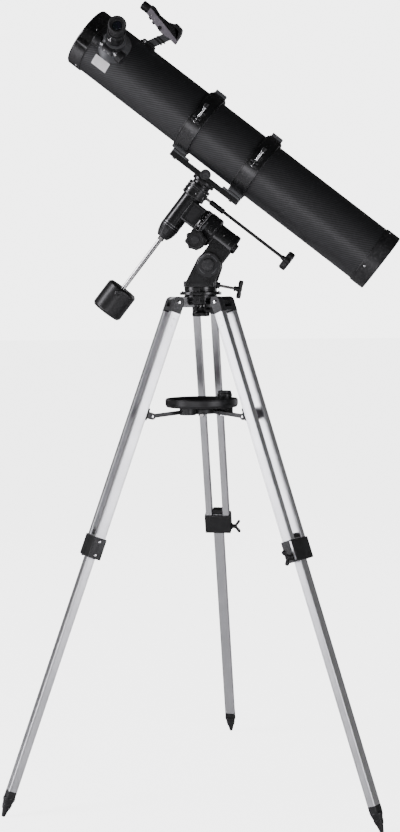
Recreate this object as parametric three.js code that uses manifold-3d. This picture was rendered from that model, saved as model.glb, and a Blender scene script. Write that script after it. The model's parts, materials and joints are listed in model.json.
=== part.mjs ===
// Newtonian reflector telescope on a German equatorial mount and a twin-rail aluminium tripod.
// Millimetres, +Z up. The tube points up towards -X and the mount's meridian plane is XZ.
// The origin is on the ground, under the middle of the whole object's box.
import * as THREE from 'three';
import { mergeVertices } from 'three/addons/utils/BufferGeometryUtils.js';
import Module from 'manifold-3d';

const wasm = await Module();
wasm.setup();

// ---- Driving dimensions: the tripod ----
const LEG_LENGTH = 1250; // hinge axis to the tip of the foot
const LEG_SPLAY = 20.3; // degrees from upright
const LEG_AZIMUTHS = [206, 326, 86]; // degrees from +X, seen from above
const HINGE_RADIUS = 65;
const HUB_RADIUS = 39;
const HUB_RISE = 16; // hub top above the hinge axis
const HUB_DROP = 7; // hub underside below the hinge axis
const LUG_PLAY = 1.5; // each side, between a lug and the rails' lines
const LUG_RADIUS = 12.5;
const HINGE_PIN_RADIUS = 3;
const RAIL_WIDTH = 16; // along the hinge axis
const RAIL_DEPTH = 25;
const RAIL_WALL = 1.8;
const RAIL_CLEARANCE = 1; // each side, between the lower tube and the rails
const RAIL_TOP = 24; // start of the rails below the hinge axis
const KNEE_DISTANCE = 600; // hinge axis to the middle of the knee clamp
const KNEE_LENGTH = 50;
const KNEE_WALL = 3.4;
const KNEE_SOCKET = 24; // how far the rails reach into the clamp
const LOWER_WIDTH = 25;
const LOWER_DEPTH = 20;
const LOWER_WALL = 2;
const LOWER_OVERLAP = 60; // lower leg kept above the middle of the clamp
const FOOT_LENGTH = 47;
const FOOT_TIP_LENGTH = 19;
const WING_LENGTH = 17;
const WING_RAKE = 35; // degrees, the wings lean away from the clamp
const WING_SCREW_RADIUS = 3;

// ---- Driving dimensions: the spreader and the tray ----
const BRACKET_DISTANCE = 270.25; // arm's pin below the hinge axis, along the leg
const BRACKET_REACH = 34.29; // arm's pin inwards of the rails' middle
const ARM_LENGTH = 99.6;
const ARM_SLOPE = 5; // degrees, rising towards the middle
const ARM_WIDTH = 9;
const ARM_DEPTH = 9;
const ARM_PIN_RADIUS = 2;
const HUB_CLEARANCE = 2.1; // between the spreader hub and the tray's collars
const SPREADER_HEIGHT = 12;
const SLOT_START = 17; // the arms' slots start here, which leaves the open pivot its play
const TRAY_RADIUS = 86;
const TRAY_RIM = 20;
const TRAY_FLOOR = 3;
const TRAY_WALL = 2.6;
const TRAY_RISE = 9.71; // underside of the tray above the arms' inner ends
const SOCKET_RADIUS = 16.3;
const SOCKET_WALL = 2.6;
const SOCKET_INSET = 31; // socket's middle inwards of the tray's edge
const SOCKET_AZIMUTHS = [238, 358, 118];
const SOCKET_COLLAR = 9; // collar below the tray
const TRAY_STUD_RADIUS = 5;

// ---- Driving dimensions: the mount ----
const LATITUDE = 38; // degrees, the height of the polar axis
const AZIMUTH_FLANGE_RADIUS = 49;
const AZIMUTH_FLANGE_HEIGHT = 7;
const DRUM_RADIUS = 38.5;
const DRUM_HEIGHT = 25.5;
const PIVOT_X = 20.6; // latitude axis, forward of the tripod axis
const PIVOT_RISE = 69.5; // latitude axis above the hub
const CHEEK_GAP = 58; // between the two cheeks of the fork
const CHEEK_THICKNESS = 12.5;
const CHEEK_RADIUS = 29;
const PIVOT_BOLT_RADIUS = 6;
const PIVOT_HEAD_RADIUS = 14.7;
const PIVOT_HEAD_HEIGHT = 5;
const POLAR_OVER_PIVOT = 66; // polar axis above the latitude axis, square to it
const PIVOT_BACK = 128.5; // latitude axis behind the declination axis
const POLAR_SHAFT_RADIUS = 12;
const HOUSING_RADIUS = 37;
const HOUSING_TOP = -64; // along the polar axis from the declination axis
const HOUSING_HEAD_LENGTH = 28;
const HOUSING_LENGTH = 86;
const HOUSING_TAIL_RADIUS = 30;
const POLAR_CAP_RADIUS = 12.5;
const CIRCLE_HEIGHT = 16.2;
const CIRCLE_RADIUS = 36;
const COLLAR_RADIUS = 16;
const RA_WHEEL_COVER = 5.4; // housing's wall round the worm wheel, with its fit
const RA_WHEEL_WIDTH = 12;
const RA_WORM_RADIUS = 6;
const RA_WORM_DROP = 8; // worm below the housing's top
const RA_KNOB_RADIUS = 24;
const RA_KNOB_WIDTH = 15;
const RA_KNOB_REACH = 72; // face of the knob from the meridian plane
const DEC_RADIUS = 23;
const DEC_LOW = -46; // ends of the declination housing along its axis
const DEC_BAND_START = 36;
const DEC_HIGH = 60;
const DEC_BAND_RISE = 5.5; // band proud of the declination housing
const DEC_SHAFT_RADIUS = 12;
const DEC_WHEEL_RADIUS = 18.5;
const DEC_WHEEL_WIDTH = 9;
const DEC_WORM_RADIUS = 5;
const DEC_WORM_X = 53;
const DEC_CAP_LENGTH = 36;
const DEC_CAP_RADIUS = 13;
const HEAD_TOP = 82;
const DEC_ROD_RADIUS = 2.6;
const DEC_ROD_LENGTH = 246; // face of the housing to the far face of the knob
const DEC_KNOB_RADIUS = 23.5;
const DEC_KNOB_WIDTH = 14;
const WEIGHT_SHAFT_RADIUS = 5.4;
const WEIGHT_SHAFT_START = -58;
const WEIGHT_RADIUS = 38;
const WEIGHT_LENGTH = 71;
const WEIGHT_TOP = -232;
const TBOLT_RADIUS = 3.6;
const TBOLT_TILT = 11.5; // degrees below level
const TBOLT_REACH = 92; // handle's middle from the tripod axis
const THANDLE_LENGTH = 43;
const THANDLE_WIDTH = 10.5;
const TBOLT_RISE = 31; // bolt's line above the hub, at the tripod axis
const AZIMUTH_BOLT_RADIUS = 5.4;
const RA_STEM_RADIUS = 4;
const DEC_STEM_RADIUS = 3.5;
const LOCK_SCREW_RADIUS = 4;

// ---- Driving dimensions: the tube ----
const TUBE_LENGTH = 870; // over both end rings
const TUBE_RADIUS = 69.5;
const TUBE_WALL = 2;
const TUBE_SHIFT = -10; // middle of the tube along the polar axis
const END_RING_WALL = 2.5;
const FRONT_RING_LENGTH = 35;
const REAR_RING_LENGTH = 38;
const END_PLATE = 6;
const MIRROR_GAP = 12.5; // between the primary mirror's edge and the tube's outside
const MIRROR_THICKNESS = 15;
const CLAMP_STATIONS = [100, -65]; // tube rings, from the middle of the tube towards its front
const CLAMP_WIDTH = 38;
const CLAMP_THICKNESS = 6.1;
const CLAMP_FOOT_HEIGHT = 4;
const BAR_WIDTH = 38;
const BAR_HEIGHT = 13; // between its end blocks
const BAR_BLOCK_HEIGHT = 18.4; // at its two ends, under the tube rings
const BAR_OVERHANG = [12, 18]; // past the middle of the front and the rear tube ring
const EAR_THICKNESS = 7.5;
const EAR_REACH = 19;
const EAR_WIDTH = 20;
const CLAMP_SCREW_RADIUS = 3;
const CLAMP_SCREW_REACH = 31; // underside of the clamp screw's head above the split
const FOCUSER_Z = 353;
const FOCUSER_TILT = 16.5; // degrees from square to the meridian plane
const FLANGE_RADIUS = 39;
const DRAWTUBE_RADIUS = 18;
const DRAWTUBE_BORE = 16.2;
const EYEPIECE_BARREL = 15.85;
const PINION_RADIUS = 3;
const DRAWTUBE_RISE = 90.5; // drawtube's end above the tube, half way along its travel
const PINION_DROP = 7; // pinion axle below the drawtube's surface
const PINION_RISE = 30.5; // pinion axle above the tube
const FOCUS_KNOB_RADIUS = 14;
const FOCUS_KNOB_WIDTH = 17;
const FOCUS_KNOB_START = 24;
const SECONDARY_RADIUS = 17;
const SECONDARY_THICKNESS = 4;
const VANE_COUNT = 3;
const FINDER_Z = 306;
const FINDER_HALF_WIDTH = 12.5;

// ---- Fits ----
const RUN = 0.4; // between pieces that turn or slide
const SEAT = 0.3; // between pieces that only touch

// ---- Facets round a circle: large, middling and small pieces ----
const FINE = 36;
const MEDIUM = 20;
const SMALL = 12;

// ---- Worked-out places ----
const rad = THREE.MathUtils.degToRad;
const HINGE_HEIGHT = LEG_LENGTH * Math.cos(rad(LEG_SPLAY));
const HUB_TOP = HINGE_HEIGHT + HUB_RISE;
const PIVOT_HEIGHT = HUB_TOP + PIVOT_RISE;
const RAIL_GAP = LOWER_WIDTH + 2 * RAIL_CLEARANCE;
const LUG_WIDTH = RAIL_GAP - 2 * LUG_PLAY;
const ARM_PIVOT_RADIUS = HINGE_RADIUS - BRACKET_REACH * Math.cos(rad(LEG_SPLAY))
  + BRACKET_DISTANCE * Math.sin(rad(LEG_SPLAY));
const ARM_PIVOT_HEIGHT = HINGE_HEIGHT - BRACKET_REACH * Math.sin(rad(LEG_SPLAY))
  - BRACKET_DISTANCE * Math.cos(rad(LEG_SPLAY));
const SPREADER_MIDDLE = ARM_PIVOT_HEIGHT + (ARM_LENGTH - ARM_DEPTH / 2) * Math.sin(rad(ARM_SLOPE));
const TRAY_BOTTOM = SPREADER_MIDDLE + TRAY_RISE;
const SOCKET_DISTANCE = TRAY_RADIUS - SOCKET_INSET;
const SPREADER_RADIUS = SOCKET_DISTANCE - SOCKET_RADIUS - SOCKET_WALL - HUB_CLEARANCE;
const HOUSING_STEP = HOUSING_TOP - HOUSING_HEAD_LENGTH;
const HOUSING_END = HOUSING_TOP - HOUSING_LENGTH;
const RA_WHEEL_RADIUS = HOUSING_RADIUS - RA_WHEEL_COVER;
const RA_WORM_Z = HOUSING_TOP - RA_WORM_DROP;
const DEC_BAND_RADIUS = DEC_RADIUS + DEC_BAND_RISE;
const DEC_CAP_END = DEC_LOW - DEC_CAP_LENGTH;
const TUBE_END = TUBE_LENGTH / 2 - END_PLATE - RUN;
const END_RING_RADIUS = TUBE_RADIUS + END_RING_WALL;
const MIRROR_RADIUS = TUBE_RADIUS - MIRROR_GAP;
const CLAMP_INNER = TUBE_RADIUS + RUN;
const CLAMP_OUTER = CLAMP_INNER + CLAMP_THICKNESS;
const TUBE_OFFSET = HEAD_TOP + SEAT + BAR_BLOCK_HEIGHT + SEAT + CLAMP_FOOT_HEIGHT + CLAMP_OUTER;
const BAR_ENDS = [CLAMP_STATIONS[0] + BAR_OVERHANG[0], CLAMP_STATIONS[1] - BAR_OVERHANG[1]];
const PINION_OFFSET = DRAWTUBE_RADIUS + PINION_DROP;
const PINION_REACH = TUBE_RADIUS + PINION_RISE;
const DRAWTUBE_END = TUBE_RADIUS + DRAWTUBE_RISE;
const DEC_WORM_Y = DEC_WHEEL_RADIUS + DEC_WORM_RADIUS + SEAT;
const RA_WORM_X = -(RA_WHEEL_RADIUS + RA_WORM_RADIUS + SEAT);

// ---- Materials ----
const finish = (color, roughness, metalness) => new THREE.MeshStandardMaterial({ color, roughness, metalness });
const casting = finish(0x15161a, 0.45, 0.1);
const moulding = finish(0x1b1b1e, 0.6, 0);
const rubber = finish(0x141414, 0.85, 0);
const anodised = finish(0xc9c9cd, 0.35, 0.9);
const chrome = finish(0xd8d8da, 0.12, 1);
const steel = finish(0x8f9195, 0.35, 1);
const carbonFinish = finish(0x17181a, 0.4, 0.1);
const glossBlack = finish(0x101012, 0.2, 0.1);
const glass = finish(0xdfe6ee, 0.05, 0.6);
const brass = finish(0xb08d4a, 0.3, 1);

// ---- Solids ----
function toSolid(geometry) {
  const bare = geometry.index ? geometry.toNonIndexed() : geometry.clone();
  bare.deleteAttribute('normal');
  bare.deleteAttribute('uv');
  const merged = mergeVertices(bare, 1e-4);
  return new wasm.Manifold(new wasm.Mesh({
    numProp: 3,
    vertProperties: new Float32Array(merged.attributes.position.array),
    triVerts: new Uint32Array(merged.index.array),
  }));
}

function toGeometry(solid) {
  const { vertProperties, triVerts } = solid.getMesh();
  const geometry = new THREE.BufferGeometry();
  geometry.setAttribute('position', new THREE.BufferAttribute(new Float32Array(vertProperties), 3));
  geometry.setIndex(new THREE.BufferAttribute(new Uint32Array(triVerts), 1));
  return geometry;
}

function join(...pieces) {
  return toGeometry(pieces.map(toSolid).reduce((whole, piece) => whole.add(piece)));
}

function cut(base, ...tools) {
  return toGeometry(tools.map(toSolid).reduce((whole, tool) => whole.subtract(tool), toSolid(base)));
}

function common(a, b) {
  return toGeometry(toSolid(a).intersect(toSolid(b)));
}

function block(x0, x1, y0, y1, z0, z1) {
  const box = new THREE.BoxGeometry(x1 - x0, y1 - y0, z1 - z0);
  return box.translate((x0 + x1) / 2, (y0 + y1) / 2, (z0 + z1) / 2);
}

// A round bar or cone along Z.
function rod(radius, z0, z1, segments = MEDIUM, topRadius = radius) {
  const bar = new THREE.CylinderGeometry(topRadius, radius, z1 - z0, segments);
  return bar.rotateX(Math.PI / 2).translate(0, 0, (z0 + z1) / 2);
}

// A turned piece about Z: [radius, z] points from the bottom of the axis to its top, or a closed loop.
function turned(points, segments = MEDIUM) {
  const lathe = new THREE.LatheGeometry(points.map(([r, z]) => new THREE.Vector2(r, z)), segments);
  return lathe.rotateX(Math.PI / 2);
}

function ring(outer, inner, z0, z1, segments = MEDIUM) {
  return turned([[inner, z0], [outer, z0], [outer, z1], [inner, z1], [inner, z0]], segments);
}

// Z-built pieces laid along another axis.
const alongX = (geometry) => geometry.rotateY(Math.PI / 2);
const alongY = (geometry) => geometry.rotateX(-Math.PI / 2);

// An outline of [x, z] points made thick along Y, from y0 to y1.
function profileXZ(points, y0, y1) {
  const shape = new THREE.Shape(points.map(([x, z]) => new THREE.Vector2(x, z)));
  const slab = new THREE.ExtrudeGeometry(shape, { depth: y1 - y0, bevelEnabled: false });
  return slab.rotateX(Math.PI / 2).translate(0, y1, 0);
}

// A hand knob along Z with rounded lobes round its rim.
function lobedKnob(radius, z0, z1, lobes) {
  const outline = new THREE.Shape();
  const steps = lobes * 6;
  for (let i = 0; i < steps; i += 1) {
    const angle = (i / steps) * Math.PI * 2;
    const reach = radius * (0.955 + 0.045 * Math.cos(angle * lobes));
    const point = [reach * Math.cos(angle), reach * Math.sin(angle)];
    if (i === 0) outline.moveTo(...point);
    else outline.lineTo(...point);
  }
  outline.closePath();
  return new THREE.ExtrudeGeometry(outline, { depth: z1 - z0, bevelEnabled: false }).translate(0, 0, z0);
}

function piece(parent, name, geometry, material) {
  const mesh = new THREE.Mesh(geometry, material);
  mesh.name = name;
  parent.add(mesh);
  return mesh;
}

function groupAt(parent, x, y, z) {
  const group = new THREE.Group();
  group.position.set(x, y, z);
  parent.add(group);
  return group;
}

// ---- Tripod: X points outwards at the first lug before it is turned to its azimuth ----
function tripodHub(parent) {
  const drum = rod(HUB_RADIUS, HINGE_HEIGHT - HUB_DROP, HUB_TOP, MEDIUM);
  const pad = block(-15, 1, -HUB_RADIUS - 4, -HUB_RADIUS + 6, HINGE_HEIGHT - HUB_DROP + 3, HUB_TOP - 2);
  const pinReach = LUG_WIDTH / 2 + RUN + RAIL_WIDTH + 1.5 + RUN;
  const lugs = LEG_AZIMUTHS.map((azimuth) => {
    const web = block(HUB_RADIUS / 2, HINGE_RADIUS, -LUG_WIDTH / 2, LUG_WIDTH / 2,
      HINGE_HEIGHT - LUG_RADIUS, HINGE_HEIGHT + LUG_RADIUS);
    const across = (radius, half) => alongY(rod(radius, -half, half)).translate(HINGE_RADIUS, 0, HINGE_HEIGHT);
    const heads = [-1, 1].map((side) => alongY(rod(5, -1.4, 1.4, 6))
      .translate(HINGE_RADIUS, side * (pinReach + 1.4), HINGE_HEIGHT));
    const lug = join(web, across(LUG_RADIUS, LUG_WIDTH / 2), across(HINGE_PIN_RADIUS, pinReach + 1), ...heads);
    return lug.rotateZ(rad(azimuth));
  });
  const boltHole = rod(AZIMUTH_BOLT_RADIUS + RUN, 0, HUB_TOP + 5);
  piece(parent, 'tripod_hub', cut(join(drum, pad, ...lugs), boltHole), casting);
}

// A leg's own frame: origin on its hinge, -Z down the leg, +X outwards, +Y along the hinge.
function legFrame(parent, azimuth) {
  const turn = new THREE.Group();
  turn.rotation.z = rad(azimuth);
  parent.add(turn);
  const frame = groupAt(turn, HINGE_RADIUS, 0, HINGE_HEIGHT);
  frame.rotation.y = -rad(LEG_SPLAY);
  return frame;
}

const RAIL_CENTRE = (RAIL_GAP + RAIL_WIDTH) / 2;
const RAIL_OUTER = RAIL_GAP / 2 + RAIL_WIDTH;
const KNEE_TOP = -(KNEE_DISTANCE - KNEE_LENGTH / 2);
const KNEE_BOTTOM = KNEE_TOP - KNEE_LENGTH;
const WING_Z = KNEE_TOP - KNEE_SOCKET - (KNEE_LENGTH - KNEE_SOCKET) / 2;

function legShoulder(frame, name) {
  const half = RAIL_DEPTH / 2 + 0.5;
  const parts = [];
  for (const side of [-1, 1]) {
    const inner = LUG_WIDTH / 2 + RUN;
    const middle = (side * (inner + RAIL_OUTER)) / 2;
    const width = RAIL_OUTER - inner;
    const ear = join(block(-half, half, -width / 2, width / 2, -RAIL_TOP, 0),
      alongY(rod(half, -width / 2, width / 2)));
    const plugWidth = RAIL_WIDTH / 2 - RAIL_WALL - SEAT;
    const plugDepth = RAIL_DEPTH / 2 - RAIL_WALL - SEAT;
    const plug = block(-plugDepth, plugDepth, -plugWidth, plugWidth, -RAIL_TOP - 36, -RAIL_TOP + 1);
    parts.push(ear.translate(0, middle, 0), plug.translate(0, side * RAIL_CENTRE, 0));
  }
  const bridge = block(-half, half, -RAIL_GAP / 2 - 2, RAIL_GAP / 2 + 2, -RAIL_TOP, -LUG_RADIUS - 2.5);
  const bore = alongY(rod(HINGE_PIN_RADIUS + RUN, -RAIL_OUTER - 1, RAIL_OUTER + 1));
  piece(frame, `${name}_shoulder`, cut(join(...parts, bridge), bore), moulding);
}

// Both rails of one leg, joined by the riveted bracket that holds the spreader arm.
function upperLeg(frame, name) {
  const top = -RAIL_TOP - SEAT;
  const bottom = KNEE_TOP - KNEE_SOCKET + SEAT;
  const rails = [-1, 1].map((side) => cut(
    block(-RAIL_DEPTH / 2, RAIL_DEPTH / 2, -RAIL_WIDTH / 2, RAIL_WIDTH / 2, bottom, top),
    block(-RAIL_DEPTH / 2 + RAIL_WALL, RAIL_DEPTH / 2 - RAIL_WALL, -RAIL_WIDTH / 2 + RAIL_WALL,
      RAIL_WIDTH / 2 - RAIL_WALL, bottom - 1, top + 1),
  ).translate(0, side * RAIL_CENTRE, 0));
  const face = -RAIL_DEPTH / 2;
  const plate = block(face - 3.5, face + 0.8, -RAIL_OUTER, RAIL_OUTER, -15, 15)
    .translate(0, 0, -BRACKET_DISTANCE);
  const earInner = ARM_WIDTH / 2 + RUN;
  const ears = [-1, 1].map((side) => {
    const ear = join(block(-BRACKET_REACH, face - 1, -1.8, 1.8, -8, 8),
      alongY(rod(8, -1.8, 1.8)).translate(-BRACKET_REACH, 0, 0));
    return ear.translate(0, side * (earInner + 1.8), -BRACKET_DISTANCE);
  });
  const pin = alongY(rod(ARM_PIN_RADIUS, -earInner - 3.6, earInner + 3.6, SMALL))
    .translate(-BRACKET_REACH, 0, -BRACKET_DISTANCE);
  piece(frame, `${name}_rails`, join(...rails, plate, ...ears, pin), anodised);
}

function kneeClamp(frame, name) {
  const halfWidth = RAIL_OUTER + KNEE_WALL;
  const halfDepth = RAIL_DEPTH / 2 + KNEE_WALL;
  const body = block(-halfDepth, halfDepth, -halfWidth, halfWidth, KNEE_BOTTOM, KNEE_TOP);
  const sockets = block(-RAIL_DEPTH / 2 - SEAT, RAIL_DEPTH / 2 + SEAT, -RAIL_OUTER - SEAT, RAIL_OUTER + SEAT,
    KNEE_TOP - KNEE_SOCKET, KNEE_TOP + 1);
  const channel = block(-LOWER_DEPTH / 2 - RUN, LOWER_DEPTH / 2 + RUN, -LOWER_WIDTH / 2 - RUN,
    LOWER_WIDTH / 2 + RUN, KNEE_BOTTOM - 1, KNEE_TOP);
  const screwHole = alongY(rod(WING_SCREW_RADIUS + RUN, -halfWidth - 1, -LOWER_WIDTH / 2)).translate(0, 0, WING_Z);
  piece(frame, `${name}_knee_clamp`, cut(body, sockets, channel, screwHole), moulding);
}

function wingScrew(frame, name) {
  const face = -(RAIL_OUTER + KNEE_WALL + RUN);
  const shank = rod(WING_SCREW_RADIUS, face - 4, -LOWER_WIDTH / 2 - 2 * RUN, SMALL);
  const boss = rod(8, face - 9, face, MEDIUM, 6.5);
  const wings = [0, Math.PI].map((turn) => block(-2.5, 2.5, 0, WING_LENGTH, -2.5, 2.5)
    .rotateX(-rad(WING_RAKE)).rotateZ(turn).translate(0, 0, face - 7));
  const screw = alongY(join(shank, boss, ...wings)).translate(0, 0, WING_Z);
  piece(frame, `${name}_wing_screw`, screw, moulding);
}

function lowerLeg(frame, name) {
  const top = -(KNEE_DISTANCE - LOWER_OVERLAP);
  const bottom = -(LEG_LENGTH - FOOT_LENGTH);
  const outer = block(-LOWER_DEPTH / 2, LOWER_DEPTH / 2, -LOWER_WIDTH / 2, LOWER_WIDTH / 2, bottom, top);
  const inner = block(-LOWER_DEPTH / 2 + LOWER_WALL, LOWER_DEPTH / 2 - LOWER_WALL, -LOWER_WIDTH / 2 + LOWER_WALL,
    LOWER_WIDTH / 2 - LOWER_WALL, bottom - 1, top + 1);
  piece(frame, `${name}_lower_tube`, cut(outer, inner), anodised);
}

function foot(frame, name) {
  const top = -(LEG_LENGTH - FOOT_LENGTH) - SEAT;
  const tipTop = -(LEG_LENGTH - FOOT_TIP_LENGTH);
  const plugDepth = LOWER_DEPTH / 2 - LOWER_WALL - SEAT;
  const plugWidth = LOWER_WIDTH / 2 - LOWER_WALL - SEAT;
  const plug = block(-plugDepth, plugDepth, -plugWidth, plugWidth, top - 2, top + 26);
  const shoe = rod(9.5, tipTop, top, MEDIUM, LOWER_WIDTH / 2 + 2);
  const tip = rod(4, -LEG_LENGTH, tipTop + 1, SMALL, 8);
  piece(frame, `${name}_foot`, join(plug, shoe, tip), rubber);
}

// The arm lies from the leg's bracket towards the tripod axis.
function spreaderArm(parent, azimuth, name) {
  const turn = new THREE.Group();
  turn.rotation.z = rad(azimuth);
  parent.add(turn);
  const frame = groupAt(turn, ARM_PIVOT_RADIUS, 0, ARM_PIVOT_HEIGHT);
  frame.rotation.y = rad(ARM_SLOPE);
  const width = ARM_WIDTH / 2;
  const depth = ARM_DEPTH / 2;
  const bar = block(-ARM_LENGTH + depth, 0, -width, width, -depth, depth);
  const ends = [0, -ARM_LENGTH + depth].map((x) => alongY(rod(depth, -width, width, SMALL)).translate(x, 0, 0));
  const bore = alongY(rod(ARM_PIN_RADIUS + RUN, -width - 1, width + 1, SMALL));
  piece(frame, name, cut(join(bar, ...ends), bore), moulding);
}

function spreaderHub(parent) {
  const low = SPREADER_MIDDLE - SPREADER_HEIGHT / 2;
  const high = SPREADER_MIDDLE + SPREADER_HEIGHT / 2;
  const plate = rod(SPREADER_RADIUS, low, high, MEDIUM);
  const slots = LEG_AZIMUTHS.map((azimuth) => block(SLOT_START, SPREADER_RADIUS + 1, -ARM_WIDTH / 2 - RUN,
    ARM_WIDTH / 2 + RUN, low - 1, high + 1).rotateZ(rad(azimuth)));
  const seat = rod(13, high - 1, TRAY_BOTTOM - SEAT);
  const stud = rod(TRAY_STUD_RADIUS, low - 8, TRAY_BOTTOM + TRAY_FLOOR + 8, SMALL);
  const nut = rod(8, low - 6, low + 1, 6);
  piece(parent, 'spreader_hub', join(cut(plate, ...slots), seat, stud, nut), moulding);
}

function accessoryTray(parent) {
  const floor = TRAY_BOTTOM + TRAY_FLOOR;
  const rim = TRAY_BOTTOM + TRAY_RIM;
  const wall = TRAY_RADIUS - TRAY_WALL;
  const bore = TRAY_STUD_RADIUS + SEAT;
  const dish = turned([[bore, TRAY_BOTTOM], [TRAY_RADIUS - 4, TRAY_BOTTOM], [TRAY_RADIUS, TRAY_BOTTOM + 4],
    [TRAY_RADIUS, rim], [wall, rim], [wall, floor + 3], [wall - 3, floor], [bore, floor], [bore, TRAY_BOTTOM]], FINE);
  const socketAt = (azimuth, geometry) => geometry.translate(SOCKET_DISTANCE, 0, 0).rotateZ(rad(azimuth));
  const collars = SOCKET_AZIMUTHS.map((azimuth) => socketAt(azimuth,
    rod(SOCKET_RADIUS + SOCKET_WALL, TRAY_BOTTOM - SOCKET_COLLAR, TRAY_BOTTOM + 1)));
  const holes = SOCKET_AZIMUTHS.map((azimuth) => socketAt(azimuth,
    rod(SOCKET_RADIUS, TRAY_BOTTOM - SOCKET_COLLAR - 1, floor + 1)));
  piece(parent, 'accessory_tray', cut(join(dish, ...collars), ...holes), moulding);
}

// An eyepiece about Z, its shoulder at the height given.
function eyepieceBody(shoulder, barrel, bodyRadius, bodyLength, cupRadius, cupLength) {
  const top = shoulder + bodyLength + cupLength;
  return turned([[0, shoulder - barrel], [EYEPIECE_BARREL, shoulder - barrel], [EYEPIECE_BARREL, shoulder],
    [bodyRadius, shoulder], [bodyRadius, shoulder + bodyLength], [cupRadius, shoulder + bodyLength + 3],
    [cupRadius, top], [cupRadius - 6, top], [cupRadius - 9, top - 6], [0, top - 6]], MEDIUM);
}

function trayEyepiece(parent) {
  const holder = new THREE.Group();
  holder.rotation.z = rad(SOCKET_AZIMUTHS[1]);
  parent.add(holder);
  const place = groupAt(holder, SOCKET_DISTANCE, 0, TRAY_BOTTOM + TRAY_FLOOR + SEAT);
  piece(place, 'tray_eyepiece', eyepieceBody(0, 24, 17.4, 20, 17.4, 15), moulding);
}

function azimuthLockKnob(parent) {
  const neck = rod(13, HINGE_HEIGHT - 24, HINGE_HEIGHT - HUB_DROP - RUN, MEDIUM, 11);
  const grip = lobedKnob(21, HINGE_HEIGHT - 34, HINGE_HEIGHT - 23.5, 6);
  const bolt = rod(AZIMUTH_BOLT_RADIUS, HINGE_HEIGHT - 30, HUB_TOP + 16, SMALL);
  piece(parent, 'azimuth_lock_knob', join(neck, grip, bolt), moulding);
}

// ---- Mount ----
function fixedBase(parent) {
  const low = HUB_TOP + RUN;
  const drumTop = low + DRUM_HEIGHT;
  const flange = rod(AZIMUTH_FLANGE_RADIUS, low, low + AZIMUTH_FLANGE_HEIGHT, FINE);
  const drum = rod(DRUM_RADIUS, low, drumTop, MEDIUM);
  const outside = CHEEK_GAP / 2 + CHEEK_THICKNESS;
  const bed = common(block(-DRUM_RADIUS + 1, DRUM_RADIUS, -outside, outside, drumTop - 7, drumTop + 7),
    rod(DRUM_RADIUS + 8, drumTop - 9, drumTop + 9, FINE));
  const pad = block(-15, 1, -DRUM_RADIUS - 4, -DRUM_RADIUS + 6, low + AZIMUTH_FLANGE_HEIGHT - 1, drumTop - 8);
  const cheeks = [-1, 1].map((side) => {
    const [y0, y1] = side < 0 ? [-outside, -CHEEK_GAP / 2] : [CHEEK_GAP / 2, outside];
    const web = profileXZ([[-DRUM_RADIUS + 5, drumTop], [DRUM_RADIUS - 2, drumTop],
      [PIVOT_X + CHEEK_RADIUS * 0.94, PIVOT_HEIGHT - CHEEK_RADIUS * 0.34],
      [PIVOT_X - CHEEK_RADIUS * 0.9, PIVOT_HEIGHT + CHEEK_RADIUS * 0.44]], y0, y1);
    const eye = alongY(rod(CHEEK_RADIUS, y0, y1, MEDIUM)).translate(PIVOT_X, 0, PIVOT_HEIGHT);
    return join(web, eye);
  });
  const nut = boltFrame(alongX(rod(7.5, DRUM_RADIUS - 8, DRUM_RADIUS + 8, 6)));
  const pivotBore = alongY(rod(PIVOT_BOLT_RADIUS + RUN, -outside - 1, outside + 1)).translate(PIVOT_X, 0, PIVOT_HEIGHT);
  const azimuthBore = rod(AZIMUTH_BOLT_RADIUS + RUN, low - 1, HUB_TOP + 17, SMALL);
  const tiltBore = boltFrame(alongX(rod(TBOLT_RADIUS + RUN, 12, DRUM_RADIUS + 10, SMALL)));
  const whole = join(flange, drum, bed, pad, ...cheeks, nut);
  piece(parent, 'mount_base', cut(whole, pivotBore, azimuthBore, tiltBore), casting);
}

// Turns a piece built along X into line with the latitude bolt.
function boltFrame(geometry) {
  return geometry.rotateY(rad(TBOLT_TILT)).translate(0, 0, HUB_TOP + TBOLT_RISE);
}

function latitudeBolt(parent) {
  const end = TBOLT_REACH / Math.cos(rad(TBOLT_TILT));
  const shank = alongX(rod(TBOLT_RADIUS, 16, end, SMALL));
  const collar = alongX(rod(6.5, end - 13, end - 3, SMALL));
  const half = THANDLE_WIDTH / 2;
  const handle = block(end - half, end + half, -half, half, -THANDLE_LENGTH / 2, THANDLE_LENGTH / 2);
  piece(parent, 'latitude_bolt', boltFrame(join(shank, collar, handle)), moulding);
}

function latitudePivotBolt(parent) {
  const outside = CHEEK_GAP / 2 + CHEEK_THICKNESS;
  const shank = rod(PIVOT_BOLT_RADIUS, -outside - 1, outside + 1);
  const heads = [-1, 1].map((side) => {
    const [a, b] = side < 0 ? [-outside - SEAT - PIVOT_HEAD_HEIGHT, -outside - SEAT]
      : [outside + SEAT, outside + SEAT + PIVOT_HEAD_HEIGHT];
    return rod(PIVOT_HEAD_RADIUS, a, b, MEDIUM);
  });
  piece(parent, 'latitude_pivot_bolt',
    alongY(join(shank, ...heads)).translate(PIVOT_X, 0, PIVOT_HEIGHT), casting);
}

// The polar frame: origin where the axes cross, +Z up the polar axis, +X along the declination axis to the tube.
function polarFrame(parent) {
  const a = rad(LATITUDE);
  const frame = groupAt(parent,
    PIVOT_X + POLAR_OVER_PIVOT * Math.sin(a) - PIVOT_BACK * Math.cos(a), 0,
    PIVOT_HEIGHT + POLAR_OVER_PIVOT * Math.cos(a) + PIVOT_BACK * Math.sin(a));
  frame.rotation.y = a - Math.PI / 2;
  return frame;
}

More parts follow.
